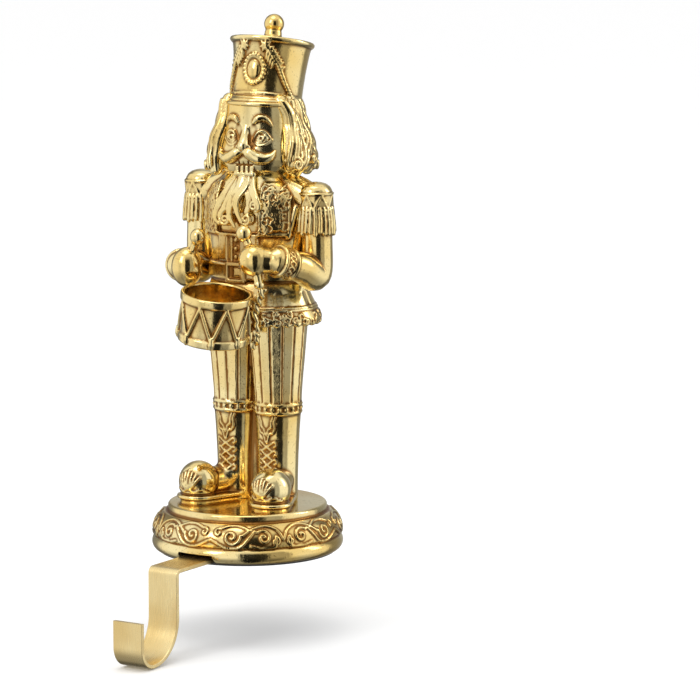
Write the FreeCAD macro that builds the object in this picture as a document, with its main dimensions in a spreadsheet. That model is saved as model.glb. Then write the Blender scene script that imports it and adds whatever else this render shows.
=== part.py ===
import FreeCAD, Part
import math
import os
import Sketcher

# Mantel stocking holder: a cast nutcracker drummer on a round footed base stands on the mantel, and a
# flat steel strip screwed under the base runs out over the edge and hangs down in a J for the stocking.
# Frame: origin on the mantel under the middle of the base, +Z up, the hook towards -Y.

# Driving sizes in millimetres and degrees, one value for each size that can be set by itself.
SIZES = {
    # Felt pad and hook strip
    "pad_radius": 42.0,
    "pad_thickness": 1.0,
    "strip_width": 16.0,
    "strip_thickness": 2.0,
    "strip_edge_round": 0.35,
    "mantel_reach": 69.0,
    "hook_drop": 39.5,
    "bend_radius": 1.2,
    "back_curve_radius": 18.0,
    "front_curve_radius": 8.0,
    "tip_rise": 22.3,
    "arm_inset": 24.0,
    # Screws that hold the strip
    "screw_radius": 2.0,
    "screw_head_radius": 3.6,
    "screw_length": 14.0,
    "screw_spacing": 26.0,
    "screw_clearance": 0.15,
    "seat_clearance": 0.15,
    # Base
    "foot_radius": 43.2,
    "base_height": 22.0,
    "bulge_height": 7.6,
    "bulge_radius": 4.4,
    "bulge_top_radius": 43.6,
    "quirk_depth": 1.0,
    "quirk_height": 0.9,
    "ovolo_radius": 10.7,
    "ovolo_foot_radius": 43.9,
    "ovolo_height": 9.8,
    "ovolo_top_radius": 38.2,
    "band_radius": 37.5,
    "band_round": 0.9,
    "notch_width": 20.0,
    "notch_height": 3.6,
    "notch_depth": 8.0,
    # Scrolls round the base
    "scroll_count": 8,
    "scroll_lift": 32.0,
    "scroll_reach": 6.6,
    "scroll_radius": 3.6,
    "scroll_cord": 0.85,
    "scroll_sink": 0.45,
    "tendril_radius": 2.9,
    "bud_radius": 1.5,
    # Shoes and boots
    "sole_thickness": 4.0,
    "sole_ledge": 0.9,
    "toe_radius": 9.7,
    "toe_spread": 20.5,
    "toe_forward": 11.0,
    "heel_radius": 8.6,
    "ankle_spread": 11.6,
    "leg_setback": 9.0,
    "instep_height": 17.0,
    "instep_radius": 8.2,
    "boot_height": 44.5,
    "ankle_radius": 9.7,
    "boot_top_radius": 11.0,
    "cuff_ring": 0.95,
    "cuff_gap": 4.4,
    "cuff_beads": 14,
    # Trousers
    "web_width": 8.0,
    "web_depth": 11.0,
    "web_sink": 4.0,
    "hem_height": 84.0,
    "thigh_radius": 14.2,
    "stripe_count": 10,
    "stripe_relief": 0.6,
    # Coat
    "skirt_height": 16.0,
    "hem_half_width": 31.0,
    "hem_half_depth": 25.0,
    "hem_band": 9.0,
    "torso_setback": 10.5,
    "torso_height": 54.0,
    "waist_half_width": 24.0,
    "waist_half_depth": 18.5,
    "chest_half_width": 26.5,
    "chest_half_depth": 18.0,
    "chest_height": 30.0,
    "collar_half_width": 14.0,
    "belt_height": 7.5,
    "belt_rise": 6.5,
    "belt_relief": 1.2,
    "buckle_width": 10.0,
    "buckle_frame": 1.6,
    "lapel_width": 3.4,
    "lapel_top_spread": 22.5,
    "lapel_low_spread": 19.5,
    "frog_drop": 6.0,
    "frog_rows": 4,
    "frog_pitch": 9.6,
    "frog_cord": 0.8,
    "frog_knot": 1.9,
    "frog_reach": 13.0,
    # Shoulders and arms
    "shoulder_spread": 32.0,
    "shoulder_radius": 9.6,
    "shoulder_drop": 10.0,
    "right_lift": 3.0,
    "epaulette_height": 8.0,
    "fringe_length": 10.5,
    "fringe_cord": 1.25,
    "fringe_count": 16,
    "upper_arm_radius": 7.2,
    "elbow_radius": 6.6,
    "elbow_spread": 32.6,
    "elbow_rise": 9.5,
    "wrist_spread": 28.5,
    "wrist_forward": 12.0,
    "wrist_radius": 5.8,
    "cuff_relief": 1.5,
    "cuff_length": 7.5,
    "hand_radius": 8.2,
    "hand_spread": 19.5,
    "hand_forward": 20.5,
    "right_hand_rise": 12.5,
    "left_hand_rise": 17.5,
    # Drum and sticks
    "drum_radius": 16.0,
    "drum_height": 23.5,
    "drum_wall": 1.3,
    "drum_depth": 14.0,
    "drum_hoop": 4.0,
    "drum_hoop_relief": 0.8,
    "drum_forward": 25.8,
    "drum_drop": 20.0,
    "drum_offset": 1.6,
    "drum_side_tilt": 9.0,
    "drum_front_tilt": 5.4,
    "drum_periods": 6,
    "drum_cord": 0.85,
    "stick_radius": 2.0,
    "stick_knob": 4.0,
    "stick_rise": 15.0,
    "stick_tail": 9.0,
    "stick_lean": 5.0,
    # Head
    "head_height": 34.0,
    "head_sink": 3.0,
    "head_setback": 12.0,
    "jaw_radius": 18.0,
    "brow_radius": 16.6,
    "eye_spread": 7.9,
    "eye_rise": 18.8,
    "eye_radius": 3.1,
    "brow_rise": 26.0,
    "brow_cord": 0.8,
    "nose_rise": 14.6,
    "nose_radius": 2.6,
    "nose_reach": 1.2,
    "lip_rise": 11.4,
    "moustache_droop": 2.6,
    "moustache_mid": 7.6,
    "moustache_reach": 14.0,
    "moustache_radius": 1.9,
    "tooth_width": 2.1,
    "tooth_height": 3.4,
    "tooth_gap": 0.5,
    "tooth_reach": 1.6,
    "tooth_rise": 2.2,
    "beard_length": 19.0,
    "beard_spread": 3.6,
    "beard_cord": 1.7,
    "curl_radius": 2.3,
    "curl_cord": 0.95,
    # Hair
    "hair_gap_angle": 100.0,
    "hair_top_radius": 17.6,
    "hair_hem_radius": 23.6,
    "hair_hem_rise": 5.0,
    "lock_count": 13,
    "lock_top_radius": 2.0,
    "lock_hem_radius": 3.6,
    "hair_curl_radius": 2.9,
    # Hat
    "hat_height": 29.0,
    "hat_setback": 15.6,
    "hat_lean": 10.5,
    "hat_radius": 16.6,
    "hat_top_radius": 18.6,
    "rim_cord": 1.4,
    "visor_reach": 2.8,
    "visor_height": 3.4,
    "visor_angle": 150.0,
    "medallion_rise": 14.0,
    "medallion_half_width": 5.2,
    "medallion_half_height": 6.6,
    "medallion_beads": 14,
    "bead_radius": 0.95,
    "rope_cord": 1.25,
    "knot_angle": 52.0,
    "knot_rise": 24.0,
    "knot_radius": 2.4,
    "swag_rise": 7.0,
    "tassel_length": 15.0,
    "finial_neck_radius": 3.4,
    "finial_neck_height": 5.0,
    "finial_radius": 4.7,
}

doc = FreeCAD.newDocument("mantel_stocking_holder")
sheet = doc.addObject("Spreadsheet::Sheet", "sizes")
for row, (alias, number) in enumerate(SIZES.items(), start=1):
    sheet.set(f"A{row}", alias)
    sheet.set(f"B{row}", str(number))
    sheet.setAlias(f"B{row}", alias)
doc.recompute()


class Size:
    """A length or angle worked out from the sheet: arithmetic on it writes the expression."""

    def __init__(self, text):
        self.text = text

    def __add__(self, other):
        return Size(f"({self.text} + {written(other)})")

    def __radd__(self, other):
        return Size(f"({written(other)} + {self.text})")

    def __sub__(self, other):
        return Size(f"({self.text} - {written(other)})")

    def __rsub__(self, other):
        return Size(f"({written(other)} - {self.text})")

    def __mul__(self, other):
        return Size(f"({self.text} * {written(other)})")

    def __rmul__(self, other):
        return Size(f"({written(other)} * {self.text})")

    def __truediv__(self, other):
        return Size(f"({self.text} / {written(other)})")

    def __rtruediv__(self, other):
        return Size(f"({written(other)} / {self.text})")

    def __neg__(self):
        return Size(f"(0 - {self.text})")


def written(value):
    return value.text if isinstance(value, Size) else str(value)


def size(alias):
    """The sheet's cell of that name."""
    return Size(f"sizes.{alias}")


def sine(angle):
    return Size(f"sin({written(angle)})")


def cosine(angle):
    return Size(f"cos({written(angle)})")


def root(value):
    return Size(f"sqrt({written(value)})")


def number(value):
    """What an expression comes to now, for a sketch's first geometry and for loop counts."""
    return float(sheet.evalExpression(written(value)))


def bind(thing, **formulas):
    """Ties properties of a document object to the sheet."""
    for name, formula in formulas.items():
        thing.setExpression(name, written(formula))
    return thing


UPRIGHT = "rotation(0; 0; 0)"


def place(thing, point, turn=UPRIGHT):
    """Puts an object at a point, turned by a rotation expression."""
    x, y, z = (written(value) for value in point)
    thing.setExpression("Placement", f"placement(vector({x}; {y}; {z}); {turn})")
    return thing


def heading(start, end):
    """The rotation that carries +Z onto the line from start to end."""
    run_x, run_y, run_z = (after - before for before, after in zip(start, end))
    level = root(run_x * run_x + run_y * run_y)
    axis = f"vector({written(-run_y)}; {written(run_x)}; 0)"
    return f"rotation({axis}; atan2({written(level)}; {written(run_z)}))"


def distance(start, end):
    steps = [after - before for before, after in zip(start, end)]
    return root(steps[0] * steps[0] + steps[1] * steps[1] + steps[2] * steps[2])


def as_sizes(point):
    return tuple(value if isinstance(value, Size) else Size(str(value)) for value in point)


def ball(point, radius):
    return place(bind(doc.addObject("Part::Sphere", "ball"), Radius=radius), point)


def limb(start, end, start_radius, end_radius, spin=0, sweep=360):
    """A round taper from one point to another, or a slice of one, turned about its own line."""
    start, end = as_sizes(start), as_sizes(end)
    thing = doc.addObject("Part::Cone", "limb")
    bind(thing, Radius1=start_radius, Radius2=end_radius, Height=distance(start, end), Angle=sweep)
    return place(thing, start, f"{heading(start, end)} * rotation(vector(0; 0; 1); {spin})")


def rod(start, end, radius):
    """A thin raised line: a six-sided rod from one point to another."""
    start, end = as_sizes(start), as_sizes(end)
    thing = doc.addObject("Part::Prism", "rod")
    bind(thing, Circumradius=radius, Height=distance(start, end))
    return place(thing, start, heading(start, end))


def raised_line(points, radius):
    """Rods end to end through points, each run on by half its radius to close the bends."""
    return [rod(start, stretched(start, end, radius / 2), radius) for start, end in zip(points, points[1:])]


def stretched(start, end, extra):
    share = extra / distance(as_sizes(start), as_sizes(end))
    return tuple(after + (after - before) * share for before, after in zip(as_sizes(start), as_sizes(end)))


def curl(middle, radius, start, sweep, steps):
    """Flat points along an arc, for a curl that tightens to half its radius at the end."""
    points = []
    for step in range(steps + 1):
        angle = start + sweep * step / steps
        reach = radius * (1 - step / steps / 2)
        points.append((middle[0] + reach * cosine(angle), middle[1] + reach * sine(angle)))
    return points


def taper(point, low_radius, high_radius, height, turn=UPRIGHT, sweep=360):
    """An upright cone frustum, or a slice of one, standing on the point."""
    thing = doc.addObject("Part::Cone", "taper")
    bind(thing, Radius1=low_radius, Radius2=high_radius, Height=height, Angle=sweep)
    return place(thing, point, turn)


def egg(point, half_x, half_y, half_z, turn=UPRIGHT):
    """An ellipsoid with its three half axes."""
    thing = doc.addObject("Part::Ellipsoid", "egg")
    bind(thing, Radius2=half_x, Radius3=half_y, Radius1=half_z)
    return place(thing, point, turn)


def block(corner, width, depth, height, turn=UPRIGHT):
    thing = doc.addObject("Part::Box", "block")
    bind(thing, Length=width, Width=depth, Height=height)
    return place(thing, corner, turn)


def bead_ring(point, radius, relief, turn=UPRIGHT):
    """A raised ring with sloping sides about an upright axis, its middle at the point's height."""
    x, y, z = point
    low = taper((x, y, z - relief), radius, radius + relief, relief, turn)
    high = taper(point, radius + relief, radius, relief, turn)
    return [low, high]


def oval_loft(sections, ruled=False):
    """A solid through level ellipses, each given as (middle y, middle z, half width, half depth)."""
    ovals = []
    for middle_y, middle_z, half_width, half_depth in sections:
        oval = doc.addObject("Part::Ellipse", "oval")
        bind(oval, MajorRadius=half_width, MinorRadius=half_depth)
        ovals.append(place(oval, (0, middle_y, middle_z)))
    loft = doc.addObject("Part::Loft", "oval_loft")
    loft.Sections = ovals
    loft.Solid = True
    loft.Ruled = ruled
    return loft


def fuse(name, pieces):
    group = doc.addObject("Part::MultiFuse", name)
    group.Shapes = pieces
    group.Refine = False
    return group


def mirrored(thing):
    """The same solid on the other side of the figure's middle plane."""
    twin = doc.addObject("Part::Mirroring", thing.Name + "_twin")
    twin.Source = thing
    twin.Normal = (1, 0, 0)
    return twin


def round_points(middle, radius, count, low, first=0):
    """Points evenly round a level circle, starting from an angle."""
    x, y = middle
    angles = [first + 360 / count * step for step in range(count)]
    return [(x + radius * cosine(angle), y + radius * sine(angle), low) for angle in angles]


def zigzag(middle, radius, low, high, periods, thickness):
    """Straight cords that run up and down round a drum, meeting at each turn."""
    step = 360 / periods
    lower = round_points(middle, radius, periods, low)
    upper = round_points(middle, radius, periods, high, step / 2)
    pieces = []
    for index in range(periods):
        pieces.append(limb(lower[index], upper[index], thickness, thickness))
        pieces.append(limb(upper[index], lower[(index + 1) % periods], thickness, thickness))
    return pieces


# Heights that the figure's parts share.
base_top = size("pad_thickness") + size("base_height")
hem = base_top + size("hem_height")
waist = hem + size("skirt_height")
shoulder = waist + size("torso_height")
chin = shoulder
hat_base = shoulder + size("head_height")
strip_middle = size("pad_thickness") + size("strip_thickness") / 2
strip_top = size("pad_thickness") + size("strip_thickness")


def plane_of(body, role):
    return next(item for item in body.Origin.OriginFeatures if item.Role == role)


def new_body(label):
    body = doc.addObject("PartDesign::Body", label)
    body.Label = label
    return body


def new_sketch(body, role, name):
    sketch = body.newObject("Sketcher::SketchObject", name)
    sketch.AttachmentSupport = (plane_of(body, role), [""])
    sketch.MapMode = "FlatFace"
    return sketch


ORIGIN_POINT = (-1, 1)


def fix_point(sketch, where, x, y):
    """Ties one point of a sketch to its place, by dimensions from the origin."""
    for kind, value, axis in (("DistanceX", x, -2), ("DistanceY", y, -1)):
        if isinstance(value, Size):
            index = sketch.addConstraint(Sketcher.Constraint(kind, *ORIGIN_POINT, *where, number(value)))
            sketch.setExpression(f"Constraints[{index}]", value.text)
        else:
            sketch.addConstraint(Sketcher.Constraint("PointOnObject", *where, axis))


def chain(sketch, corners, arcs, closed=True):
    """Lines through corners, each fixed by dimensions; arcs gives (radius, turn), turn 1 left or -1 right."""
    spots = [FreeCAD.Vector(number(x), number(y), 0) for x, y in corners]
    count = len(spots) if closed else len(spots) - 1
    ends = []
    for index in range(count):
        start = spots[index]
        end = spots[(index + 1) % len(spots)]
        if index not in arcs:
            sketch.addGeometry(Part.LineSegment(start, end))
            ends.append((1, 2))
            continue
        radius, turn = arcs[index]
        half_chord = (end - start).Length / 2
        outward = FreeCAD.Vector(end.y - start.y, start.x - end.x, 0).normalize() * turn
        bow = number(radius) - math.sqrt(max(number(radius) ** 2 - half_chord ** 2, 0))
        middle = (start + end) / 2 + outward * bow
        if turn > 0:
            sketch.addGeometry(Part.ArcOfCircle(start, middle, end))
            ends.append((1, 2))
        else:
            sketch.addGeometry(Part.ArcOfCircle(end, middle, start))
            ends.append((2, 1))
    for index in range(count):
        if closed or index < count - 1:
            after = (index + 1) % count
            sketch.addConstraint(
                Sketcher.Constraint("Coincident", index, ends[index][1], after, ends[after][0]))
        fix_point(sketch, (index, ends[index][0]), *corners[index])
    if not closed:
        fix_point(sketch, (count - 1, ends[-1][1]), *corners[-1])
    for index, (radius, _) in arcs.items():
        bound = sketch.addConstraint(Sketcher.Constraint("Radius", index, number(radius)))
        sketch.setExpression(f"Constraints[{bound}]", written(radius))


def screw(spot, clearance=0):
    """A countersunk screw, head down, or the hole that one leaves when a clearance is added."""
    x, y = spot
    low = size("pad_thickness")
    head = taper((x, y, low), size("screw_head_radius") + clearance, size("screw_radius") + clearance,
                 size("strip_thickness"))
    shank = taper((x, y, low), size("screw_radius") + clearance, size("screw_radius") + clearance,
                  size("screw_length") + clearance)
    return fuse("screw", [head, shank])


# Hook strip: one flat bar bent twice, swept along the middle of its thickness.
half_strip = size("strip_thickness") / 2
half_width = size("strip_width") / 2
shank_y = -size("mantel_reach") - half_strip
bend = size("bend_radius") + half_strip
back_curve = size("back_curve_radius") + half_strip
front_curve = size("front_curve_radius") + half_strip
hook_floor = -size("hook_drop") + half_strip
arm_end = size("arm_inset")

arm_body = new_body("arm_blank")
path = new_sketch(arm_body, "YZ_Plane", "arm_path")
path_points = [
    (arm_end, strip_middle),
    (shank_y + bend, strip_middle),
    (shank_y, strip_middle - bend),
    (shank_y, hook_floor + back_curve),
    (shank_y - back_curve, hook_floor),
    (shank_y - back_curve - front_curve, hook_floor + front_curve),
    (shank_y - back_curve - front_curve, hook_floor - half_strip + size("tip_rise")),
]
chain(path, path_points, {1: (bend, 1), 3: (back_curve, -1), 4: (front_curve, -1)}, closed=False)

section = new_sketch(arm_body, "XZ_Plane", "arm_section")
section.setExpression("AttachmentOffset", f"placement(vector(0; 0; {written(-arm_end)}); {UPRIGHT})")
edge = size("strip_edge_round")
strip_low = size("pad_thickness")
section_corners = [
    (edge - half_width, strip_low),
    (half_width - edge, strip_low),
    (half_width, strip_low + edge),
    (half_width, strip_top - edge),
    (half_width - edge, strip_top),
    (edge - half_width, strip_top),
    (-half_width, strip_top - edge),
    (-half_width, strip_low + edge),
]
chain(section, section_corners, {1: (edge, 1), 3: (edge, 1), 5: (edge, 1), 7: (edge, 1)})
bar = arm_body.newObject("PartDesign::AdditivePipe", "bar")
bar.Profile = section
bar.Spine = (path, [f"Edge{index + 1}" for index in range(len(path_points) - 1)])
bar.Transition = "Transformed"

screw_spots = [(0, size("screw_spacing") / 2), (0, -size("screw_spacing") / 2)]
arm_screws = fuse("arm_screws", [screw(spot) for spot in screw_spots])
screw_holes = fuse("screw_holes", [screw(spot, size("screw_clearance")) for spot in screw_spots])

hook_arm = doc.addObject("Part::Cut", "hook_arm")
hook_arm.Base = arm_body
hook_arm.Tool = screw_holes

# Felt pad under the base.
base_pad = doc.addObject("Part::Cylinder", "base_pad")
bind(base_pad, Radius=size("pad_radius"), Height=size("pad_thickness"))

# Base: turned form with a bulged foot, a quirk, a quarter-round and a plain top band.
base_body = new_body("base_blank")
profile = new_sketch(base_body, "XZ_Plane", "base_profile")
quirk_low = size("bulge_height")
quirk_high = quirk_low + size("quirk_height")
ovolo_top = quirk_high + size("ovolo_height")
band_low = ovolo_top + size("quirk_height")
profile_corners = [
    (0, 0),
    (size("foot_radius"), 0),
    (size("bulge_top_radius"), quirk_low),
    (size("bulge_top_radius") - size("quirk_depth"), quirk_low),
    (size("bulge_top_radius") - size("quirk_depth"), quirk_high),
    (size("ovolo_foot_radius"), quirk_high),
    (size("ovolo_top_radius"), ovolo_top),
    (size("band_radius") - size("quirk_depth"), ovolo_top),
    (size("band_radius") - size("quirk_depth"), band_low),
    (size("band_radius"), band_low),
    (size("band_radius"), size("base_height") - size("band_round")),
    (size("band_radius") - size("band_round"), size("base_height")),
    (0, size("base_height")),
]
chain(profile, profile_corners,
      {1: (size("bulge_radius"), 1), 5: (size("ovolo_radius"), 1), 10: (size("band_round"), 1)})
turned = base_body.newObject("PartDesign::Revolution", "turned")
turned.Profile = profile
turned.ReferenceAxis = (profile, ["V_Axis"])
turned.Angle = 360
place(base_body, (0, 0, size("pad_thickness")))

# Scrolls lie on the quarter-round: each arc's plane touches it at an angle round the base and a lift up it.
def ovolo_spot(angle, lift, sink):
    """A point under the quarter-round's surface and the turn that faces an arc outward there."""
    half_height = size("ovolo_height") / 2
    level = size("pad_thickness") + quirk_high + half_height
    lean = size("ovolo_foot_radius") - size("ovolo_top_radius")
    middle = (size("ovolo_foot_radius") + size("ovolo_top_radius")) / 2
    flank = root(half_height * half_height + lean * lean / 4)
    depth = root(size("ovolo_radius") * size("ovolo_radius") - flank * flank)
    slope = Size(f"atan2({written(lean / 2)}; {written(half_height)})")
    core_radius = middle - depth * cosine(slope)
    core_level = level - depth * sine(slope)
    reach = size("ovolo_radius") - sink
    radius = core_radius + reach * cosine(lift)
    spot = (radius * cosine(angle), radius * sine(angle), core_level + reach * sine(lift))
    return spot, f"rotation({written(angle)}; {written(90 - lift)}; 0)"


def scroll_line(points, angle, lift):
    """Lays flat points, in millimetres across and up, on the quarter-round about an angle and a lift."""
    spots = []
    for across, up in points:
        turn = angle + across / size("ovolo_foot_radius") * DEGREES
        rise = lift + up / size("ovolo_radius") * DEGREES
        spots.append(ovolo_spot(turn, rise, size("scroll_sink"))[0])
    return raised_line(spots, size("scroll_cord"))


def scroll_set(index):
    """An S-scroll, curled at both ends, and a bud after it."""
    angle = scroll_pitch * index
    reach = size("scroll_reach")
    wide, tight = size("scroll_radius"), size("tendril_radius")
    line = curl((-reach, -size("scroll_sink")), wide, 60, 250, 6)[::-1]
    line += curl((reach, size("scroll_sink")), tight, 240, 250, 5)
    bud, facing = ovolo_spot(angle + scroll_pitch / 2, size("scroll_lift"), 0)
    return scroll_line(line, angle, size("scroll_lift")) + [
        egg(bud, size("bud_radius"), size("bud_radius") * 2, size("bud_radius") / 2, facing),
    ]


DEGREES = 180 / math.pi
scroll_pitch = 360 / size("scroll_count")
scrolls = []
for index in range(int(SIZES["scroll_count"])):
    scrolls += scroll_set(index)


def base_reliefs():
    """What is left out under the base: a channel for the strip, a notch at its mouth, the screws' holes."""
    seat = size("seat_clearance")
    mouth = -size("bulge_top_radius") * 2
    channel = block((-half_width - seat, mouth, 0), size("strip_width") + seat * 2,
                    arm_end + seat - mouth, strip_top + seat)
    notch = block((-size("notch_width") / 2, mouth, 0), size("notch_width"),
                  size("notch_depth") + size("bulge_top_radius"), size("pad_thickness") + size("notch_height"))
    holes = [screw(spot, size("screw_clearance")) for spot in screw_spots]
    return fuse("base_reliefs", [channel, notch] + holes)


base = doc.addObject("Part::Cut", "base")
base.Base = fuse("base_solid", [base_body] + scrolls)
base.Tool = base_reliefs()


# Legs: one side is made and mirrored. Soles, round toes, tall boots with a cuff, striped trousers.
def sole_body():
    """A sole with a round heel and a wider round toe, joined by straight sides."""
    body = new_body("sole")
    sketch = new_sketch(body, "XY_Plane", "sole_outline")
    heel = FreeCAD.Vector(SIZES["ankle_spread"], SIZES["leg_setback"], 0)
    toe = FreeCAD.Vector(SIZES["toe_spread"], -SIZES["toe_forward"], 0)
    heel_radius = SIZES["heel_radius"] + SIZES["sole_ledge"]
    toe_radius = SIZES["toe_radius"] + SIZES["sole_ledge"]
    along = toe - heel
    spread = math.degrees(math.atan2(along.y, along.x))
    side = math.degrees(math.acos((heel_radius - toe_radius) / along.Length))

    def rim(middle, radius, angle):
        turned = math.radians(angle)
        return middle + FreeCAD.Vector(radius * math.cos(turned), radius * math.sin(turned), 0)

    toe_right, toe_left = rim(toe, toe_radius, spread - side), rim(toe, toe_radius, spread + side)
    heel_right, heel_left = rim(heel, heel_radius, spread - side), rim(heel, heel_radius, spread + side)
    sketch.addGeometry(Part.ArcOfCircle(toe_right, rim(toe, toe_radius, spread), toe_left))
    sketch.addGeometry(Part.LineSegment(toe_left, heel_left))
    sketch.addGeometry(Part.ArcOfCircle(heel_left, rim(heel, heel_radius, spread + 180), heel_right))
    sketch.addGeometry(Part.LineSegment(heel_right, toe_right))
    for index in range(4):
        sketch.addConstraint(Sketcher.Constraint("Tangent", index, 2, (index + 1) % 4, 1))
    fix_point(sketch, (0, 3), size("toe_spread"), -size("toe_forward"))
    fix_point(sketch, (2, 3), size("ankle_spread"), size("leg_setback"))
    for index, radius in ((0, size("toe_radius")), (2, size("heel_radius"))):
        wide = radius + size("sole_ledge")
        bound = sketch.addConstraint(Sketcher.Constraint("Radius", index, number(wide)))
        sketch.setExpression(f"Constraints[{bound}]", written(wide))
    pad = body.newObject("PartDesign::Pad", "sole_pad")
    pad.Profile = sketch
    bind(pad, Length=size("sole_thickness"))
    return place(body, (0, 0, base_top))


def leg_group():
    x, y = size("ankle_spread"), size("leg_setback")
    toe = (size("toe_spread"), -size("toe_forward"), base_top + size("toe_radius"))
    instep = (x, y - size("instep_radius") / 4, base_top + size("instep_height"))
    boot_top = base_top + size("boot_height")
    trouser_height = hem + size("hem_band") / 2 - boot_top
    relief = size("stripe_relief")
    pieces = [
        sole_body(),
        ball(toe, size("toe_radius")),
        limb(toe, instep, size("toe_radius") - size("sole_ledge"), size("instep_radius")),
        taper((x, y, base_top), size("ankle_radius"), size("boot_top_radius"), size("boot_height")),
        taper((x, y, boot_top), size("boot_top_radius"), size("thigh_radius"), trouser_height),
    ]
    for level in (boot_top - size("cuff_gap") / 2, boot_top + size("cuff_gap") / 2):
        pieces += bead_ring((x, y, level), size("boot_top_radius"), size("cuff_ring"))
    inner = round_points((x, y), size("ankle_radius"), int(SIZES["cuff_beads"]), boot_top)
    outer = round_points((x, y), size("boot_top_radius") + size("cuff_ring"), int(SIZES["cuff_beads"]), boot_top)
    for start, end in zip(inner, outer):
        pieces.append(limb(start, end, size("cuff_gap") / 2, size("cuff_gap") / 6))
    stripes = int(SIZES["stripe_count"])
    for index in range(stripes):
        turn = f"rotation({360 / stripes * index}; 0; 0)"
        pieces.append(taper((x, y, boot_top), size("boot_top_radius") + relief, size("thigh_radius") + relief,
                            trouser_height, turn, 180 / stripes))
    return fuse("leg", pieces)


left_leg = leg_group()
web_low = base_top - size("web_sink")
web = block((-size("web_width") / 2, size("leg_setback") - size("web_depth") / 2, web_low),
            size("web_width"), size("web_depth"), hem + size("hem_band") / 2 - web_low)
legs = fuse("legs", [left_leg, mirrored(left_leg), web])


# Coat: a flared skirt, a close body over it, a belt with a square buckle and two lapels.
back = size("torso_setback")
skirt = oval_loft([
    (back, hem, size("hem_half_width") - 1, size("hem_half_depth") - 1),
    (back, hem + size("hem_band") / 2, size("hem_half_width"), size("hem_half_depth")),
    (back, waist, size("waist_half_width"), size("waist_half_depth")),
], ruled=True)
chest_level = waist + size("chest_height")
torso = oval_loft([
    (back, waist - size("belt_relief"), size("waist_half_width"), size("waist_half_depth")),
    (back, waist + size("chest_height") / 2, size("waist_half_width"), size("waist_half_depth")),
    (back, chest_level, size("chest_half_width"), size("chest_half_depth")),
    (back, shoulder - size("shoulder_drop"), size("chest_half_width"), size("chest_half_depth")),
    (back, shoulder, size("collar_half_width") + 4, size("chest_half_depth") - 4),
    (back, shoulder + size("head_sink"), size("collar_half_width"), size("chest_half_depth") - 5),
])
belt_low = waist + size("belt_rise")
belt_size = (size("waist_half_width") + size("belt_relief"), size("waist_half_depth") + size("belt_relief"))
belt = oval_loft([(back, belt_low, *belt_size), (back, belt_low + size("belt_height"), *belt_size)])

front_of_belt = back - size("waist_half_depth") - size("belt_relief")
frame_out = block((-size("buckle_width") / 2, front_of_belt - size("belt_relief"), belt_low - 1),
                  size("buckle_width"), size("belt_relief") * 3, size("belt_height") + 2)
frame_in = block((size("buckle_frame") - size("buckle_width") / 2, front_of_belt - size("belt_relief") * 2,
                  belt_low - 1 + size("buckle_frame")),
                 size("buckle_width") - size("buckle_frame") * 2, size("belt_relief") * 2,
                 size("belt_height") + 2 - size("buckle_frame") * 2)
buckle = doc.addObject("Part::Cut", "buckle")
buckle.Base = frame_out
buckle.Tool = frame_in


def chest_front(x):
    """How far forward the chest's oval reaches at x."""
    share = x / size("chest_half_width")
    return back - size("chest_half_depth") * root(1 - share * share)


def lapel(side):
    """A flat band down the open edge of the coat."""
    top_x = side * size("lapel_top_spread")
    low_x = side * size("lapel_low_spread")
    top = (top_x, chest_front(top_x), shoulder - size("shoulder_drop"))
    low = (low_x, chest_front(low_x), belt_low + size("belt_height") / 2)
    return rod(low, top, size("lapel_width") / 2)


def frog(level):
    """A raised cord across the chest in two runs, with a six-sided knot at each end."""
    cord, reach, knot = size("frog_cord"), size("frog_reach"), size("frog_knot")
    middle = (0, chest_front(0) - cord / 4, level)
    pieces = []
    for side in (-1, 1):
        x, y = side * reach, chest_front(reach)
        pieces += [rod(middle, (x, y - cord / 4, level), cord), rod((x, y + knot, level), (x, y - knot, level), knot)]
    return pieces


frogs = []
for index in range(int(SIZES["frog_rows"])):
    frogs += frog(shoulder - size("frog_drop") - size("frog_pitch") * index)
coat = fuse("coat", [skirt, torso, belt, buckle, lapel(1), lapel(-1)] + frogs)


# Arms: fringed epaulette, upper arm, elbow, forearm with a turned cuff, round hand on a drumstick.
def arm_group(side, lift, hand_rise):
    cap = (side * size("shoulder_spread"), back, shoulder - size("shoulder_drop") + lift)
    x, y, cap_level = cap
    fringe_low = cap_level - size("epaulette_height") / 2 - size("fringe_length")
    elbow = (side * size("elbow_spread"), size("leg_setback"), waist + size("elbow_rise"))
    wrist = (side * size("wrist_spread"), -size("wrist_forward"), waist + hand_rise)
    hand = (side * size("hand_spread"), -size("hand_forward"), waist + hand_rise)
    share = size("cuff_length") / distance(elbow, wrist)
    cuff = tuple(end - (end - start) * share for start, end in zip(elbow, wrist))
    cuff_radius = size("wrist_radius") + size("cuff_relief")
    knob = (hand[0] - side * size("stick_lean"), hand[1], hand[2] + size("stick_rise"))
    tail = (hand[0] + side * size("stick_lean") / 3, hand[1], hand[2] - size("stick_tail"))
    band_radius = size("shoulder_radius") + size("fringe_cord") * 0.75
    pieces = [
        ball(cap, size("shoulder_radius")),
        taper((x, y, cap_level - size("epaulette_height") / 2), band_radius, band_radius, size("epaulette_height")),
        limb(elbow, cap, size("elbow_radius"), size("upper_arm_radius")),
        ball(elbow, size("elbow_radius")),
        limb(elbow, wrist, size("elbow_radius"), size("wrist_radius")),
        limb(cuff, wrist, cuff_radius, cuff_radius),
        limb(wrist, hand, size("wrist_radius"), size("wrist_radius")),
        ball(hand, size("hand_radius")),
        limb(tail, knob, size("stick_radius") * 1.3, size("stick_radius")),
        ball(knob, size("stick_knob")),
    ]
    strands = int(SIZES["fringe_count"])
    for spot in round_points((x, y), size("shoulder_radius") - size("fringe_cord") / 2, strands, fringe_low):
        pieces.append(taper(spot, size("fringe_cord"), size("fringe_cord"), size("fringe_length") + 1))
    return fuse("arm", pieces)


right_arm = arm_group(-1, size("right_lift"), size("right_hand_rise"))
left_arm = arm_group(1, 0, size("left_hand_rise"))


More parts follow.
